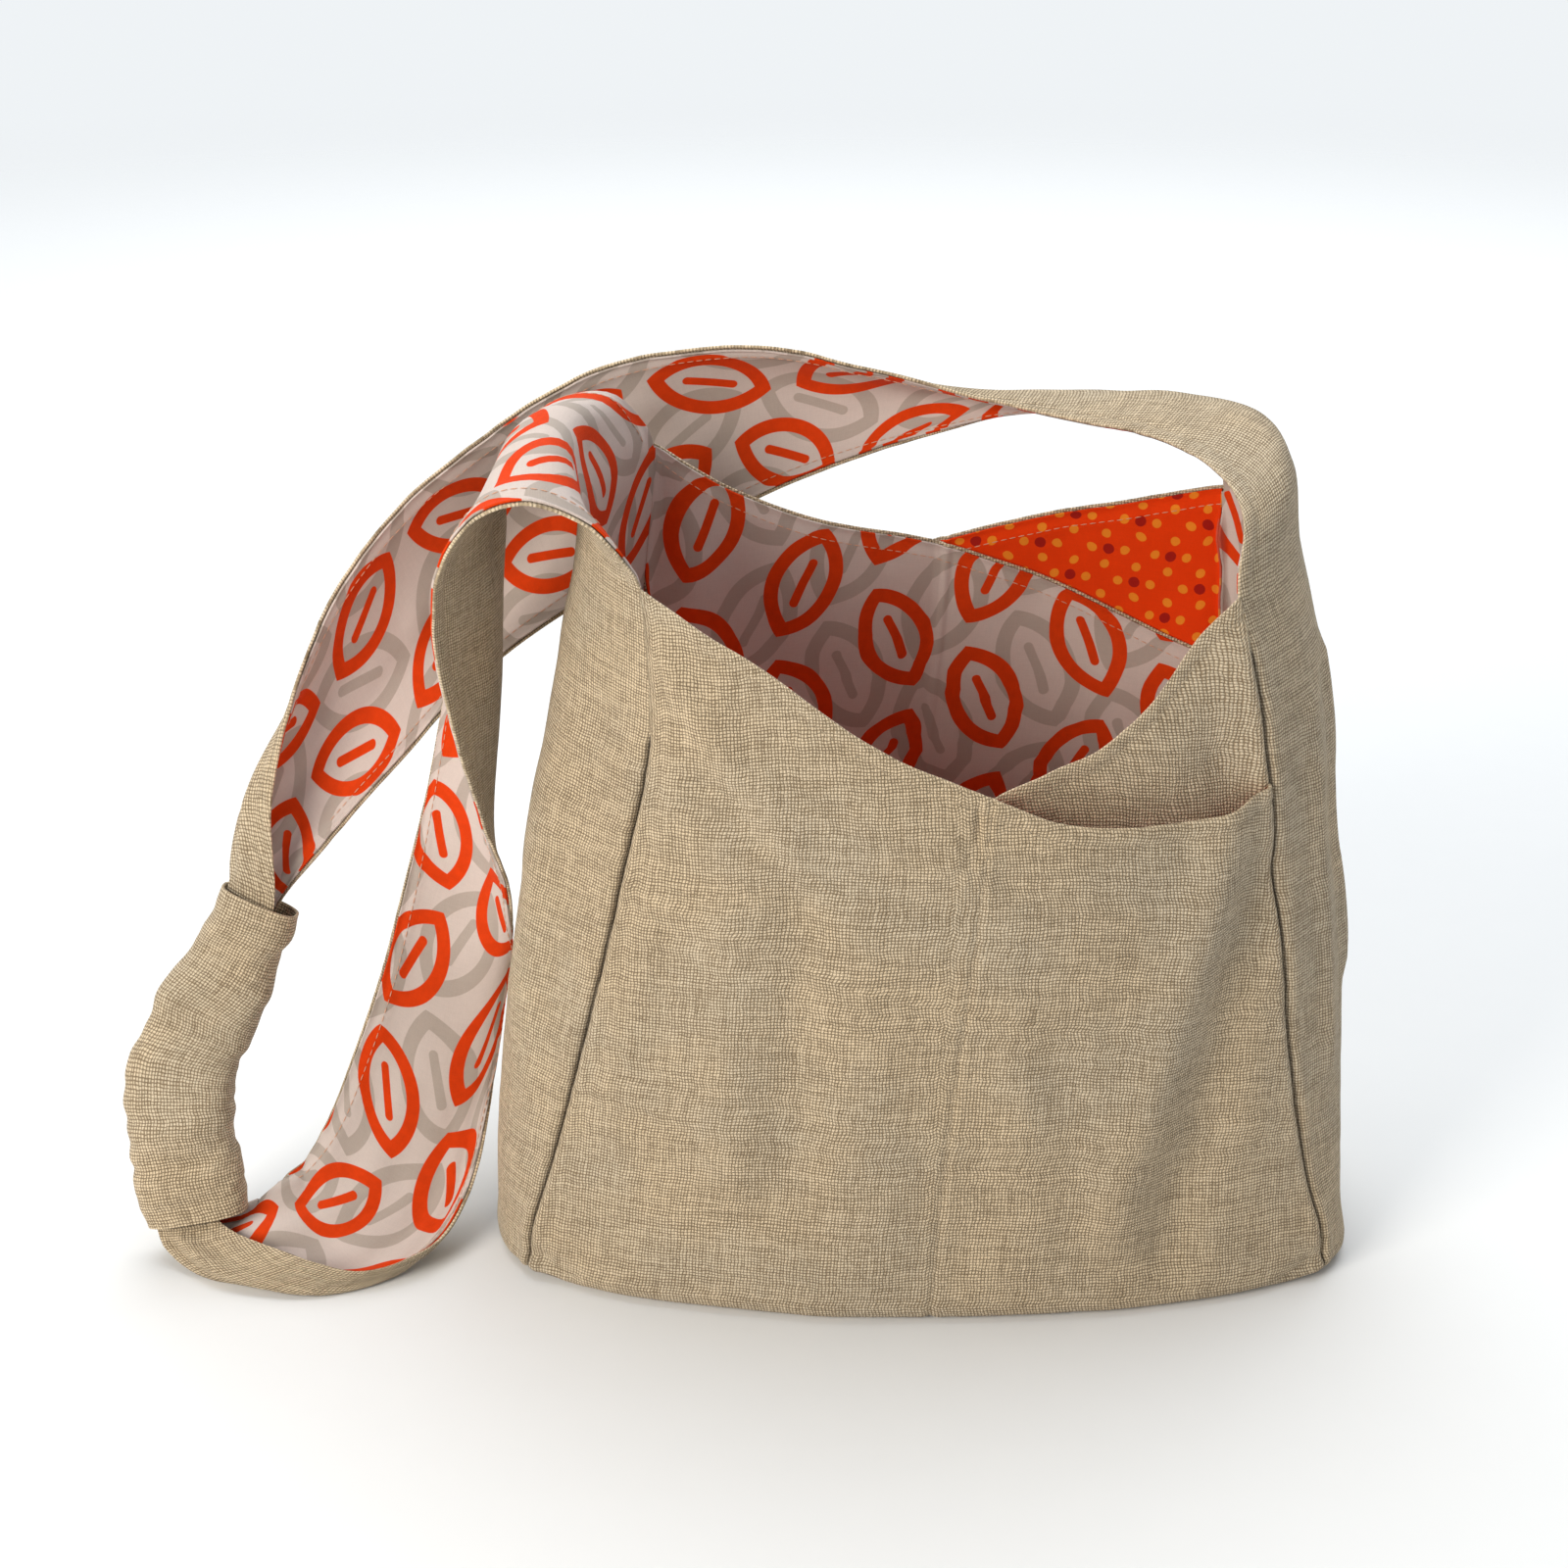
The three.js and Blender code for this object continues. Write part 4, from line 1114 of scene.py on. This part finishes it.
def dot_group():
    """Round dots on a staggered lattice."""
    if "staggered dots" in bpy.data.node_groups:
        return bpy.data.node_groups["staggered dots"]
    sizes = {"Pitch": 0.0146, "Radius": 0.002}
    graph, given, out = new_group("staggered dots", {"Map": None, **sizes}, ["Dots"])
    place = graph.split(given["Map"])

    def lattice(shift):
        offsets = []
        for axis in "XY":
            cell = graph.plus(graph.over(place[axis], given["Pitch"]), shift)
            offsets.append(graph.times(graph.in_cell(cell), given["Pitch"]))
        return graph.length(*offsets)

    nearest = graph.math("MINIMUM", lattice(0.0), lattice(0.5))
    graph.put(out["Dots"], graph.inside(nearest, given["Radius"]))
    return graph.tree


def wear_and_seam_shade_group():
    """Masks from the distances that the mesh carries: close to a hem's rim, and in a seam, where it
    stands for painted shade in the seam's groove.
    """
    if "cloth wear and seam shade" in bpy.data.node_groups:
        return bpy.data.node_groups["cloth wear and seam shade"]
    graph, given, out = new_group("cloth wear and seam shade", {"Place": None, "Hem": 1.0, "Seam": 1.0},
                                  ["Rim", "Seam Shade", "Mottle"])
    patch = graph.span(graph.noise(given["Place"], 90.0, 3.0), 0.3, 0.6)
    rim = graph.span(given["Hem"], 0.0016, 0.0)
    graph.fill(out, {
        "Rim": graph.times(rim, patch),
        "Seam Shade": graph.span(given["Seam"], 0.0013, 0.0003),
        "Mottle": graph.noise(given["Place"], 14.0, 4.0, 0.55),
    })
    return graph.tree


def new_material(name):
    """Material, its graph, and the inputs of its Principled shader."""
    material = bpy.data.materials.new(name)
    material.use_nodes = True
    return material, Graph(material.node_tree), material.node_tree.nodes["Principled BSDF"].inputs


def cloth_places(graph):
    """The cloth's map, the place in the object, and the masks of wear and of painted shade in the
    seams.
    """
    cloth_map = graph.add("UVMap", uv_map="cloth")["UV"]
    place = graph.add("TexCoord")["Object"]
    hem = graph.add("Attribute", attribute_name="hem")["Fac"]
    seam = graph.add("Attribute", attribute_name="seam")["Fac"]
    return cloth_map, place, graph.group(wear_and_seam_shade_group(), {"Place": place, "Hem": hem, "Seam": seam})


def linear(colour, factor=1.0):
    """Colour with four channels, made lighter or darker."""
    return (*(channel * factor for channel in colour), 1.0)


def linen_material():
    """Undyed linen: pale and dark threads in a plain weave, mottled, with painted shade in the seams
    and in the gaps of the weave.
    """
    if "undyed linen" in bpy.data.materials:
        return bpy.data.materials["undyed linen"]
    colours = bpy.context.scene.bag_colours
    material, graph, shader = new_material("undyed linen")
    cloth_map, place, wear_and_shade = cloth_places(graph)
    weave = graph.group(weave_group(), {"Map": cloth_map, "Pitch": LINEN_PITCH, "Slub": 1.2})
    pale = graph.blend(graph.span(wear_and_shade["Mottle"], 0.36, 0.64), linear(colours.linen_cool),
                       linear(colours.linen_light))
    tone = graph.span(weave["Tone"], 0.0, 1.0, shape="LINEAR")
    colour = graph.blend(tone, linear(colours.linen_dark), pale)

    def flecks(scale_x, scale_y, low, high):
        on_map = graph.split(cloth_map)
        stretched = graph.join(graph.times(on_map["X"], scale_x), graph.times(on_map["Y"], scale_y))
        return graph.span(graph.noise(stretched, 1.0, 1.0), low, high)

    bits = graph.math("MAXIMUM", flecks(260.0, 900.0, 0.70, 0.80), flecks(900.0, 240.0, 0.72, 0.82))
    for mask, share, laid_over in (
        (bits, 0.45, linear(colours.linen_dark, 0.7)),
        # Painted shade: the linen darkens in the seams, where their grooves would be in shade
        (wear_and_shade["Seam Shade"], 0.8, linear(colours.linen_dark, 0.22)),
        (wear_and_shade["Rim"], 0.35, linear(colours.linen_light, 1.15)),
    ):
        colour = graph.blend(graph.times(mask, share), colour, laid_over)
    height = graph.line(graph.noise(place, 900.0, 2.0), 0.35, weave["Height"])
    graph.fill(shader, {
        "Base Color": colour,
        "Roughness": graph.span(weave["Height"], 0.0, 1.0, 0.98, 0.82, "LINEAR"),
        "Normal": graph.relief(0.9, 0.0005, height),
        "Specular IOR Level": 0.2,
        "Sheen Weight": 0.12,
        "Sheen Roughness": 0.6,
    })
    return material


def cotton_finish(graph, shader, cloth_map, place, colour, wear_and_shade):
    """Fine cotton: a tight weave under the print, soft creases in its relief, painted shade in the
    seams and a dull face.
    """
    weave = graph.group(weave_group(), {"Map": cloth_map, "Pitch": COTTON_PITCH, "Slub": 0.4})
    thread = graph.span(weave["Tone"], 0.1, 0.9, 0.90, 1.03, "LINEAR")
    shaded = graph.add("VectorMath", {0: colour, "Scale": thread}, operation="SCALE")["Vector"]
    crumple = graph.noise(place, 70.0, 3.0, 0.6)
    height = graph.line(crumple, 6.0, weave["Height"])
    graph.fill(shader, {
        # Painted shade: the cotton darkens in the seams, where their grooves would be in shade
        "Base Color": graph.blend(graph.times(wear_and_shade["Seam Shade"], 0.35), shaded, SEAM_SHADE_COTTON),
        "Normal": graph.relief(0.5, 0.00015, height),
        "Roughness": graph.span(crumple, 0.2, 0.8, 0.75, 0.88),
        "Specular IOR Level": 0.12,
        "Sheen Weight": 0.03,
    })


def shifted(graph, cloth_map, shift):
    """The cloth's map moved along."""
    return graph.add("Mapping", {"Vector": cloth_map, "Location": (*shift, 0)})[0]


def print_material():
    """Pale cotton with orange open leaves and a fainter layer of grey-beige ones."""
    if "leaf print" in bpy.data.materials:
        return bpy.data.materials["leaf print"]
    colours = bpy.context.scene.bag_colours
    material, graph, shader = new_material("leaf print")
    cloth_map, place, wear_and_shade = cloth_places(graph)

    def leaves(shift, length, width, line):
        sizes = {"Column": LEAF_COLUMN, "Row": LEAF_ROW, "Leaf Length": length,
                 "Leaf Width": width, "Line": line}
        return graph.group(leaf_group(), {"Map": shifted(graph, cloth_map, shift), **sizes})[0]

    ink = graph.span(graph.noise(place, 240.0, 2.0), 0.3, 0.7)
    inked = graph.blend(ink, linear(colours.print_motif, 0.92), linear(colours.print_motif))
    ghost = leaves((0.022, 0.016), 0.052, 0.030, 0.0070)
    colour = graph.blend(ghost, linear(colours.print_ground), linear(colours.print_shadow))
    colour = graph.blend(leaves((0.0, 0.0), 0.048, 0.027, 0.0066), colour, inked)
    cotton_finish(graph, shader, cloth_map, place, colour, wear_and_shade)
    return material


def dotted_material():
    """Orange cotton with small yellow dots and sparser dark red ones."""
    if "dotted cotton" in bpy.data.materials:
        return bpy.data.materials["dotted cotton"]
    colours = bpy.context.scene.bag_colours
    material, graph, shader = new_material("dotted cotton")
    cloth_map, place, wear_and_shade = cloth_places(graph)
    colour = linear(colours.dotted_ground)
    for shift, pitch, radius, dots in (
        ((0.0, 0.0), DOT_PITCH, 0.0021, colours.yellow_dots),
        ((DOT_PITCH / 2, 0.0), 2 * DOT_PITCH, 0.0025, colours.red_dots),
    ):
        values = {"Map": shifted(graph, cloth_map, shift), "Pitch": pitch, "Radius": radius}
        colour = graph.blend(graph.group(dot_group(), values)[0], colour, linear(dots))
    cotton_finish(graph, shader, cloth_map, place, colour, wear_and_shade)
    return material


def thread_material(name, colour):
    """Sewing thread with a fine twist."""
    if name in bpy.data.materials:
        return bpy.data.materials[name]
    material, graph, shader = new_material(name)
    waves = {"Vector": graph.add("TexCoord")["Object"], "Scale": 900.0, "Distortion": 1.5}
    twist = graph.add("TexWave", waves, bands_direction="DIAGONAL")["Fac"]
    graph.fill(shader, {
        "Base Color": graph.blend(twist, linear(colour, 0.8), linear(colour, 1.1)),
        "Normal": graph.relief(0.4, 0.0001, twist),
        "Roughness": 0.7,
    })
    return material


# Stitches


def stitch_shape():
    """One stitch as a low ellipsoid, long in x: rings of six corners between two tips."""
    tilt = np.linspace(-1, 1, 6)[1:-1] * np.pi / 2
    turn = np.arange(6) / 6 * 2 * np.pi
    x = np.repeat(np.sin(tilt), 6)
    ring = np.repeat(np.cos(tilt), 6)
    y, z = ring * np.tile(np.cos(turn), 4), ring * np.tile(np.sin(turn), 4)
    points = np.concatenate([vector(x, y, z), [[-1, 0, 0], [1, 0, 0]]])
    faces = []
    for i in range(3):
        for j in range(6):
            a, b = 6 * i + j, 6 * i + (j + 1) % 6
            faces += [(a, b, b + 6), (a, b + 6, a + 6)]
    for j in range(6):
        k = (j + 1) % 6
        faces += [(24, k, j), (25, 18 + j, 18 + k)]
    return points, np.array(faces)


def stitches_along(paths, sizes):
    """Vertices and faces of stitches spread evenly along paths of (points, outward)."""
    shape, faces = stitch_shape()
    width = sizes.thread_width
    half = np.array([sizes.stitch_length / 2, width / 2, width / THREAD_FLATNESS])
    all_points = []
    for points, outward in paths:
        run = np.concatenate([[0], np.linalg.norm(np.diff(points, axis=0), axis=1).cumsum()])
        centres = np.arange(sizes.stitch_pitch / 2, run[-1], sizes.stitch_pitch)

        def along(values, at):
            return np.stack([np.interp(at, run, values[:, k]) for k in range(3)], axis=1)

        forward = unit(along(points, centres + 0.0008) - along(points, centres - 0.0008))
        up = unit(along(outward, centres))
        side = unit(np.cross(up, forward))
        frames = np.stack([forward, side, np.cross(forward, side)], axis=1)
        placed = np.einsum("vk,nkc->nvc", shape * half, frames)
        placed += (along(points, centres) + up * width * THREAD_RISE)[:, None]
        all_points.append(placed.reshape(-1, 3))
    all_points = np.concatenate(all_points)
    starts = np.arange(0, len(all_points), len(shape))[:, None, None]
    return all_points, (faces[None] + starts).reshape(-1, 3)


def sew_stitches(name, paths, material):
    """A piece of stitches."""
    points, faces = stitches_along(paths, bpy.context.scene.bag_sizes)
    piece = new_piece(name, build_mesh(name, points, faces), material)
    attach(piece, "root")
    return piece


def sling_paths(side, extra_depth, face):
    """Hem stitches of one sling on one face, 1 for the outer and -1 for the inner one: lines
    in from its panels' top edges and from both edges of its strap."""
    panels, depths = outer_panels(), panel_depths()
    line = -1 - STITCH_LINE
    paths = []
    for name in SLINGS[side]:
        grid = panels[name].layer(depths[name] + extra_depth)
        paths.append((grid[line], -face * panels[name].inward[line]))
    strap = side_panel(side)
    grid = strap.layer(hem_depth(strap) + extra_depth)
    rows = slice(strap.panel_rows, len(strap.points) - HIDDEN_ROWS)
    for column in (STITCH_LINE, line):
        paths.append((grid[rows, column], -face * strap.inward[rows, column]))
    return paths


def middle_paths():
    """Stitches down the middle of the front and of the back."""
    paths = []
    for face, edge in (("front", FRONT_OUTER_EDGE), ("rear", BACK_OUTER_EDGE)):
        top = SEAM_HEIGHT * smooth(edge, "across", "up", MIDDLE_SEAMS[face][1]) - 0.006
        height = np.linspace(0.010, top, 160)
        points, inward = wall(panel_way(face, middle_share(face, height)), height)
        paths.append((points, -inward))
    return paths


# Pieces


def side_panel(side):
    """Surface of a side panel with its strap."""
    sizes = bpy.context.scene.bag_sizes
    return side_surface(side, sizes.mesh_step, sizes.linen_wall, sizes.gather_depth)


def outer_panels():
    """Surfaces of the four face panels."""
    step = bpy.context.scene.bag_sizes.mesh_step
    return {
        "front_outer": face_surface("front", "front_outer", step),
        "front_inner": face_surface("front", "front_inner", step),
        "back_outer": face_surface("rear", "back_outer", step),
        "back_inner": face_surface("rear", "back_inner", step),
    }


def panel_depths():
    """Depth of each face panel's linen below the bag's outer face."""
    panels = outer_panels()
    depths = {name: hem_depth(surface) for name, surface in panels.items()}
    depths["front_inner"] += behind_pocket(panels["front_inner"], "right", "front_outer")
    depths["back_inner"] += behind_pocket(panels["back_inner"], "left", "back_outer")
    return depths


def sling_layers(names, side, extra_depth=0, setback=0.0):
    """Grids of one sling at a depth below its linen's outer face."""
    panels, depths = outer_panels(), panel_depths()
    strap = side_panel(side)
    layers = [(strap, strap.layer(hem_depth(strap) + extra_depth, setback))]
    layers += [(panels[n], panels[n].layer(depths[n] + extra_depth, setback)) for n in names]
    return layers


def length_property(name, description, default, least=0.0):
    """A length that a user can change."""
    return bpy.props.FloatProperty(
        name=name, description=description, default=default, min=least, unit="LENGTH")


class BagSizes(bpy.types.PropertyGroup):
    """Sizes of the cloth and its stitches."""

    linen_wall: length_property(
        "Linen Wall", "Thickness of the linen", LINEN_WALL, 0.0005)
    lining_wall: length_property(
        "Lining Wall", "Thickness of the printed lining", LINING_WALL, 0.0005)
    gather_depth: length_property(
        "Gather Depth", "Height of the pleats beside the sleeve", 0.0018)
    stitch_length: length_property(
        "Stitch Length", "Length of one topstitch", 0.0030, 0.001)
    stitch_pitch: length_property(
        "Stitch Pitch", "Distance from one topstitch to the next", 0.0040, 0.0015)
    thread_width: length_property(
        "Thread Width", "Width of the sewing thread", 0.00045, 0.0002)
    mesh_step: length_property(
        "Mesh Step", "Distance between two lines of the cloth's mesh", 0.0036, 0.002)
    camera_height: length_property(
        "Camera Height", "Height of the camera above the floor", 0.6487)


def colour_property(name, description, default):
    """A linear colour that a user can change."""
    return bpy.props.FloatVectorProperty(
        name=name, description=description, subtype="COLOR", size=3, min=0, max=1, default=default)


class BagColours(bpy.types.PropertyGroup):
    """Colours of the cloth, the thread and the floor."""

    linen_light: colour_property("Linen Light", "Pale warm threads", (0.760, 0.600, 0.400))
    linen_cool: colour_property("Linen Cool", "Pale cool threads", (0.690, 0.575, 0.415))
    linen_dark: colour_property("Linen Dark", "Dark threads", (0.250, 0.180, 0.105))
    print_ground: colour_property("Print Ground", "Ground of the print", (0.670, 0.565, 0.510))
    print_motif: colour_property("Print Leaves", "Orange leaves", (0.760, 0.052, 0.002))
    print_shadow: colour_property("Print Shadow Leaves", "Faint leaves", (0.480, 0.400, 0.345))
    dotted_ground: colour_property("Dotted Ground", "Ground of the dots", (0.850, 0.050, 0.001))
    yellow_dots: colour_property("Yellow Dots", "Small dots", (0.900, 0.270, 0.020))
    red_dots: colour_property("Red Dots", "Sparser dots", (0.380, 0.012, 0.006))
    linen_thread: colour_property("Linen Thread", "Stitches on the linen", (0.440, 0.350, 0.240))
    lining_thread: colour_property("Lining Thread", "Stitches on the print", (0.720, 0.400, 0.260))
    floor: colour_property("Floor", "Plain floor", (0.84, 0.84, 0.84))


class BAG_OT_linen_slings(bpy.types.Operator):
    """Sew the two linen slings, each a face, a side panel and a strap in one, with the
    other sling's inner face"""

    bl_idname = "bag.linen_slings"
    bl_label = "Linen Slings"

    def execute(self, context):
        for side, (front, back) in SLINGS.items():
            nodes = [f"{front}_panel", f"{side}_side_panel", f"{side}_strap", f"{back}_panel"]
            sew(f"{side}_sling_linen", sling_layers((front, back), side), linen_material(),
                context.scene.bag_sizes.linen_wall, nodes)
        return {"FINISHED"}


class BAG_OT_linings(bpy.types.Operator):
    """Line both slings with the print, and the two pockets with the dotted cotton"""

    bl_idname = "bag.linings"
    bl_label = "Linings"

    def execute(self, context):
        thickness = context.scene.bag_sizes.lining_wall
        for side, inner in (("left", "back_inner"), ("right", "front_inner")):
            nodes = [f"{side}_side_lining", f"{side}_strap_lining", f"{inner}_lining"]
            sew(f"{side}_sling_lining", sling_layers([inner], side, LINING_START, LINING_SETBACK),
                print_material(), thickness, nodes)
        panels, depths = outer_panels(), panel_depths()
        for face in ("front", "back"):
            name = f"{face}_outer"
            grid = panels[name].layer(depths[name] + LINING_START, LINING_SETBACK)
            sew(f"{face}_pocket_lining_cloth", [(panels[name], grid)], dotted_material(), thickness,
                [f"{face}_pocket_lining"])
        return {"FINISHED"}


class BAG_OT_base(bpy.types.Operator):
    """Lay the two cloths of the flat bottom inside the rounded bottom edge"""

    bl_idname = "bag.base"
    bl_label = "Base"

    def execute(self, context):
        sizes = context.scene.bag_sizes
        self.lay("base_linen", "base_panel", linen_material(), 0.0, sizes.linen_wall, "linen")
        self.lay("base_print", "base_lining", print_material(), LINING_START, sizes.lining_wall,
                 "printed_cotton")
        return {"FINISHED"}

    def lay(self, name, node, material, bottom, thickness, slot):
        """A plate: rings of the bottom outline drawn towards the middle line."""
        way = np.linspace(0, LOOP, BASE_COLUMNS)
        outline, _ = wall(way, np.zeros(len(way)))
        outline[:, :2] *= 1 - BASE_INSET / HALF_DEPTH
        spine = outline * [BASE_SPINE, 0.0, 1]
        grid = mix(outline[None], spine[None], BASE_RINGS[:, None, None])
        grid[..., 2] = bottom + thickness
        hem = np.full(grid.shape[:2], 1.0)
        surface = Surface(grid, np.zeros_like(grid) + [0, 0, -1], hem, hem, False)
        surface.map = grid[..., :2].copy()
        x, y = outline[:, 0], outline[:, 1]
        surface.area = abs(float((x[:-1] * y[1:] - x[1:] * y[:-1]).sum())) / 2
        surface.width, surface.length = np.ptp(x), np.ptp(y)
        sew(name, [(surface, grid)], material, thickness, [node])


class BAG_OT_sleeve(bpy.types.Operator):
    """Slip the shoulder sleeve over the folded ends of both straps"""

    bl_idname = "bag.sleeve"
    bl_label = "Shoulder Sleeve"

    def execute(self, context):
        down = np.concatenate([[0, 0.004, 0.012, 0.025], np.linspace(0.04, 0.96, 90),
                               [0.975, 0.988, 0.996, 1]])
        angle = np.linspace(0, 2 * np.pi, 97)[None, :]
        centre, wide, deep, width = (a[:, None] for a in sleeve_axes(down))
        x, y, turn = np.cos(angle), np.sin(angle), angle / (2 * np.pi)
        slant = down[:, None] + 0.05 * np.sin(angle + 0.7)
        wrinkle = sum(height * ripple(turn * around, slant * along, seed, around)
                      for height, around, along, seed in SLEEVE_SLACK)
        wrinkle *= np.minimum(ease(0, 0.10, down), 1 - ease(0.90, 1, down))[:, None]

        def rounded(value):
            return np.sign(value) * np.abs(value) ** SLEEVE_ROUNDNESS

        grid = centre + wide * ((width / 2) * rounded(x) + wrinkle * x)[..., None]
        grid = grid + deep * ((SLEEVE_THICKNESS / 2) * rounded(y) + wrinkle * y)[..., None]
        seam = np.ones(grid.shape[:2])
        hem = seam * (np.minimum(down, 1 - down) * SLEEVE_LENGTH)[:, None]
        surface = Surface(grid, -unit(grid - centre), hem, seam, True)
        sew("shoulder_sleeve_linen", [(surface, grid)], linen_material(),
            context.scene.bag_sizes.linen_wall, ["shoulder_sleeve"])
        return {"FINISHED"}


class BAG_OT_stitching(bpy.types.Operator):
    """Topstitch the hems on both faces, and the middle seams"""

    bl_idname = "bag.stitching"
    bl_label = "Stitching"

    def execute(self, context):
        colours = context.scene.bag_colours
        linen_thread = thread_material("linen thread", colours.linen_thread)
        lining_thread = thread_material("lining thread", colours.lining_thread)
        inner_face = LINING_START + context.scene.bag_sizes.lining_wall
        for side in SLINGS:
            sew_stitches(f"{side}_sling_outer_stitches", sling_paths(side, 0, 1), linen_thread)
            sew_stitches(f"{side}_sling_inner_stitches", sling_paths(side, inner_face, -1),
                         lining_thread)
        sew_stitches("middle_seam_stitches", middle_paths(), linen_thread)
        return {"FINISHED"}


class BAG_OT_stage(bpy.types.Operator):
    """Set the pale floor, the soft lights and the camera"""

    bl_idname = "bag.stage"
    bl_label = "Stage"

    def execute(self, context):
        scene = context.scene
        self.floor(scene)
        self.world(scene)
        for name, (place, turn, size, power) in LIGHTS.items():
            light = bpy.data.lights.new(name, "AREA")
            light.size = size
            light.energy = power
            light.color = KEY_TINT if name == "key_light" else SKY_TINT
            lamp = bpy.data.objects.new(name, light)
            lamp.location = place
            lamp.rotation_euler = turn
            scene.collection.objects.link(lamp)
        camera = bpy.data.cameras.new("camera")
        camera.sensor_width = CAMERA_SENSOR
        camera.lens = CAMERA_LENS
        view = bpy.data.objects.new("camera", camera)
        view.location = (*CAMERA_PLACE, scene.bag_sizes.camera_height)
        view.rotation_euler = (np.radians(CAMERA_TILT), 0.0, 0.0)
        scene.collection.objects.link(view)
        scene.camera = view
        scene.view_settings.view_transform = "Standard"
        return {"FINISHED"}

    def floor(self, scene):
        """A wide plain plane under the bag, which fades out far away."""
        corners = 8.0 * np.array([(-1, -1, 0), (1, -1, 0), (1, 1, 0), (-1, 1, 0)], float)
        material, graph, shader = new_material("floor")
        place = graph.add("TexCoord")["Object"]
        colour = scene.bag_colours.floor
        away = graph.add("VectorMath", {0: place}, operation="LENGTH")["Value"]
        graph.fill(shader, {
            "Base Color": graph.blend(graph.noise(place, 40.0, 4.0), linear(colour, 0.985),
                                      linear(colour)),
            "Alpha": graph.span(away, *FLOOR_FADE, 1.0, 0.0),
            "Roughness": 0.9,
        })
        floor = new_piece("floor", build_mesh("floor", corners, np.array([[0, 1, 2, 3]])), material)

    def world(self, scene):
        """Even pale light from all round, seen as a brighter backdrop."""
        world = bpy.data.worlds.new("soft room")
        world.use_nodes = True
        graph = Graph(world.node_tree)
        seen = graph.add("LightPath")["Is Camera Ray"]
        graph.fill(world.node_tree.nodes["Background"].inputs, {
            "Color": (*SKY_TINT, 1),
            "Strength": graph.between(seen, WORLD_LIGHT, BACKDROP),
        })
        scene.world = world


class BAG_PT_panel(bpy.types.Panel):
    """Sizes, colours and pieces of the bag"""

    bl_idname = "BAG_PT_panel"
    bl_label = "Sling Bag"
    bl_space_type = "VIEW_3D"
    bl_region_type = "UI"
    bl_category = "Sling Bag"

    def draw(self, context):
        layout = self.layout
        for group in (context.scene.bag_sizes, context.scene.bag_colours):
            column = layout.column(align=True)
            for key in group.__annotations__:
                column.prop(group, key)
        column = layout.column(align=True)
        for operator in OPERATORS:
            column.operator(operator.bl_idname)


OPERATORS = (
    BAG_OT_linen_slings,
    BAG_OT_linings,
    BAG_OT_base,
    BAG_OT_sleeve,
    BAG_OT_stitching,
    BAG_OT_stage,
)
CLASSES = (BagSizes, BagColours, *OPERATORS, BAG_PT_panel)


def register():
    for item in CLASSES:
        bpy.utils.register_class(item)
    bpy.types.Scene.bag_sizes = bpy.props.PointerProperty(type=BagSizes)
    bpy.types.Scene.bag_colours = bpy.props.PointerProperty(type=BagColours)


def unregister():
    del bpy.types.Scene.bag_colours
    del bpy.types.Scene.bag_sizes
    for item in reversed(CLASSES):
        bpy.utils.unregister_class(item)


def main():
    """Build every piece in order."""
    register()
    bpy.ops.bag.linen_slings()
    bpy.ops.bag.linings()
    bpy.ops.bag.base()
    bpy.ops.bag.sleeve()
    bpy.ops.bag.stitching()
    bpy.ops.bag.stage()


if __name__ == "__main__":
    main()
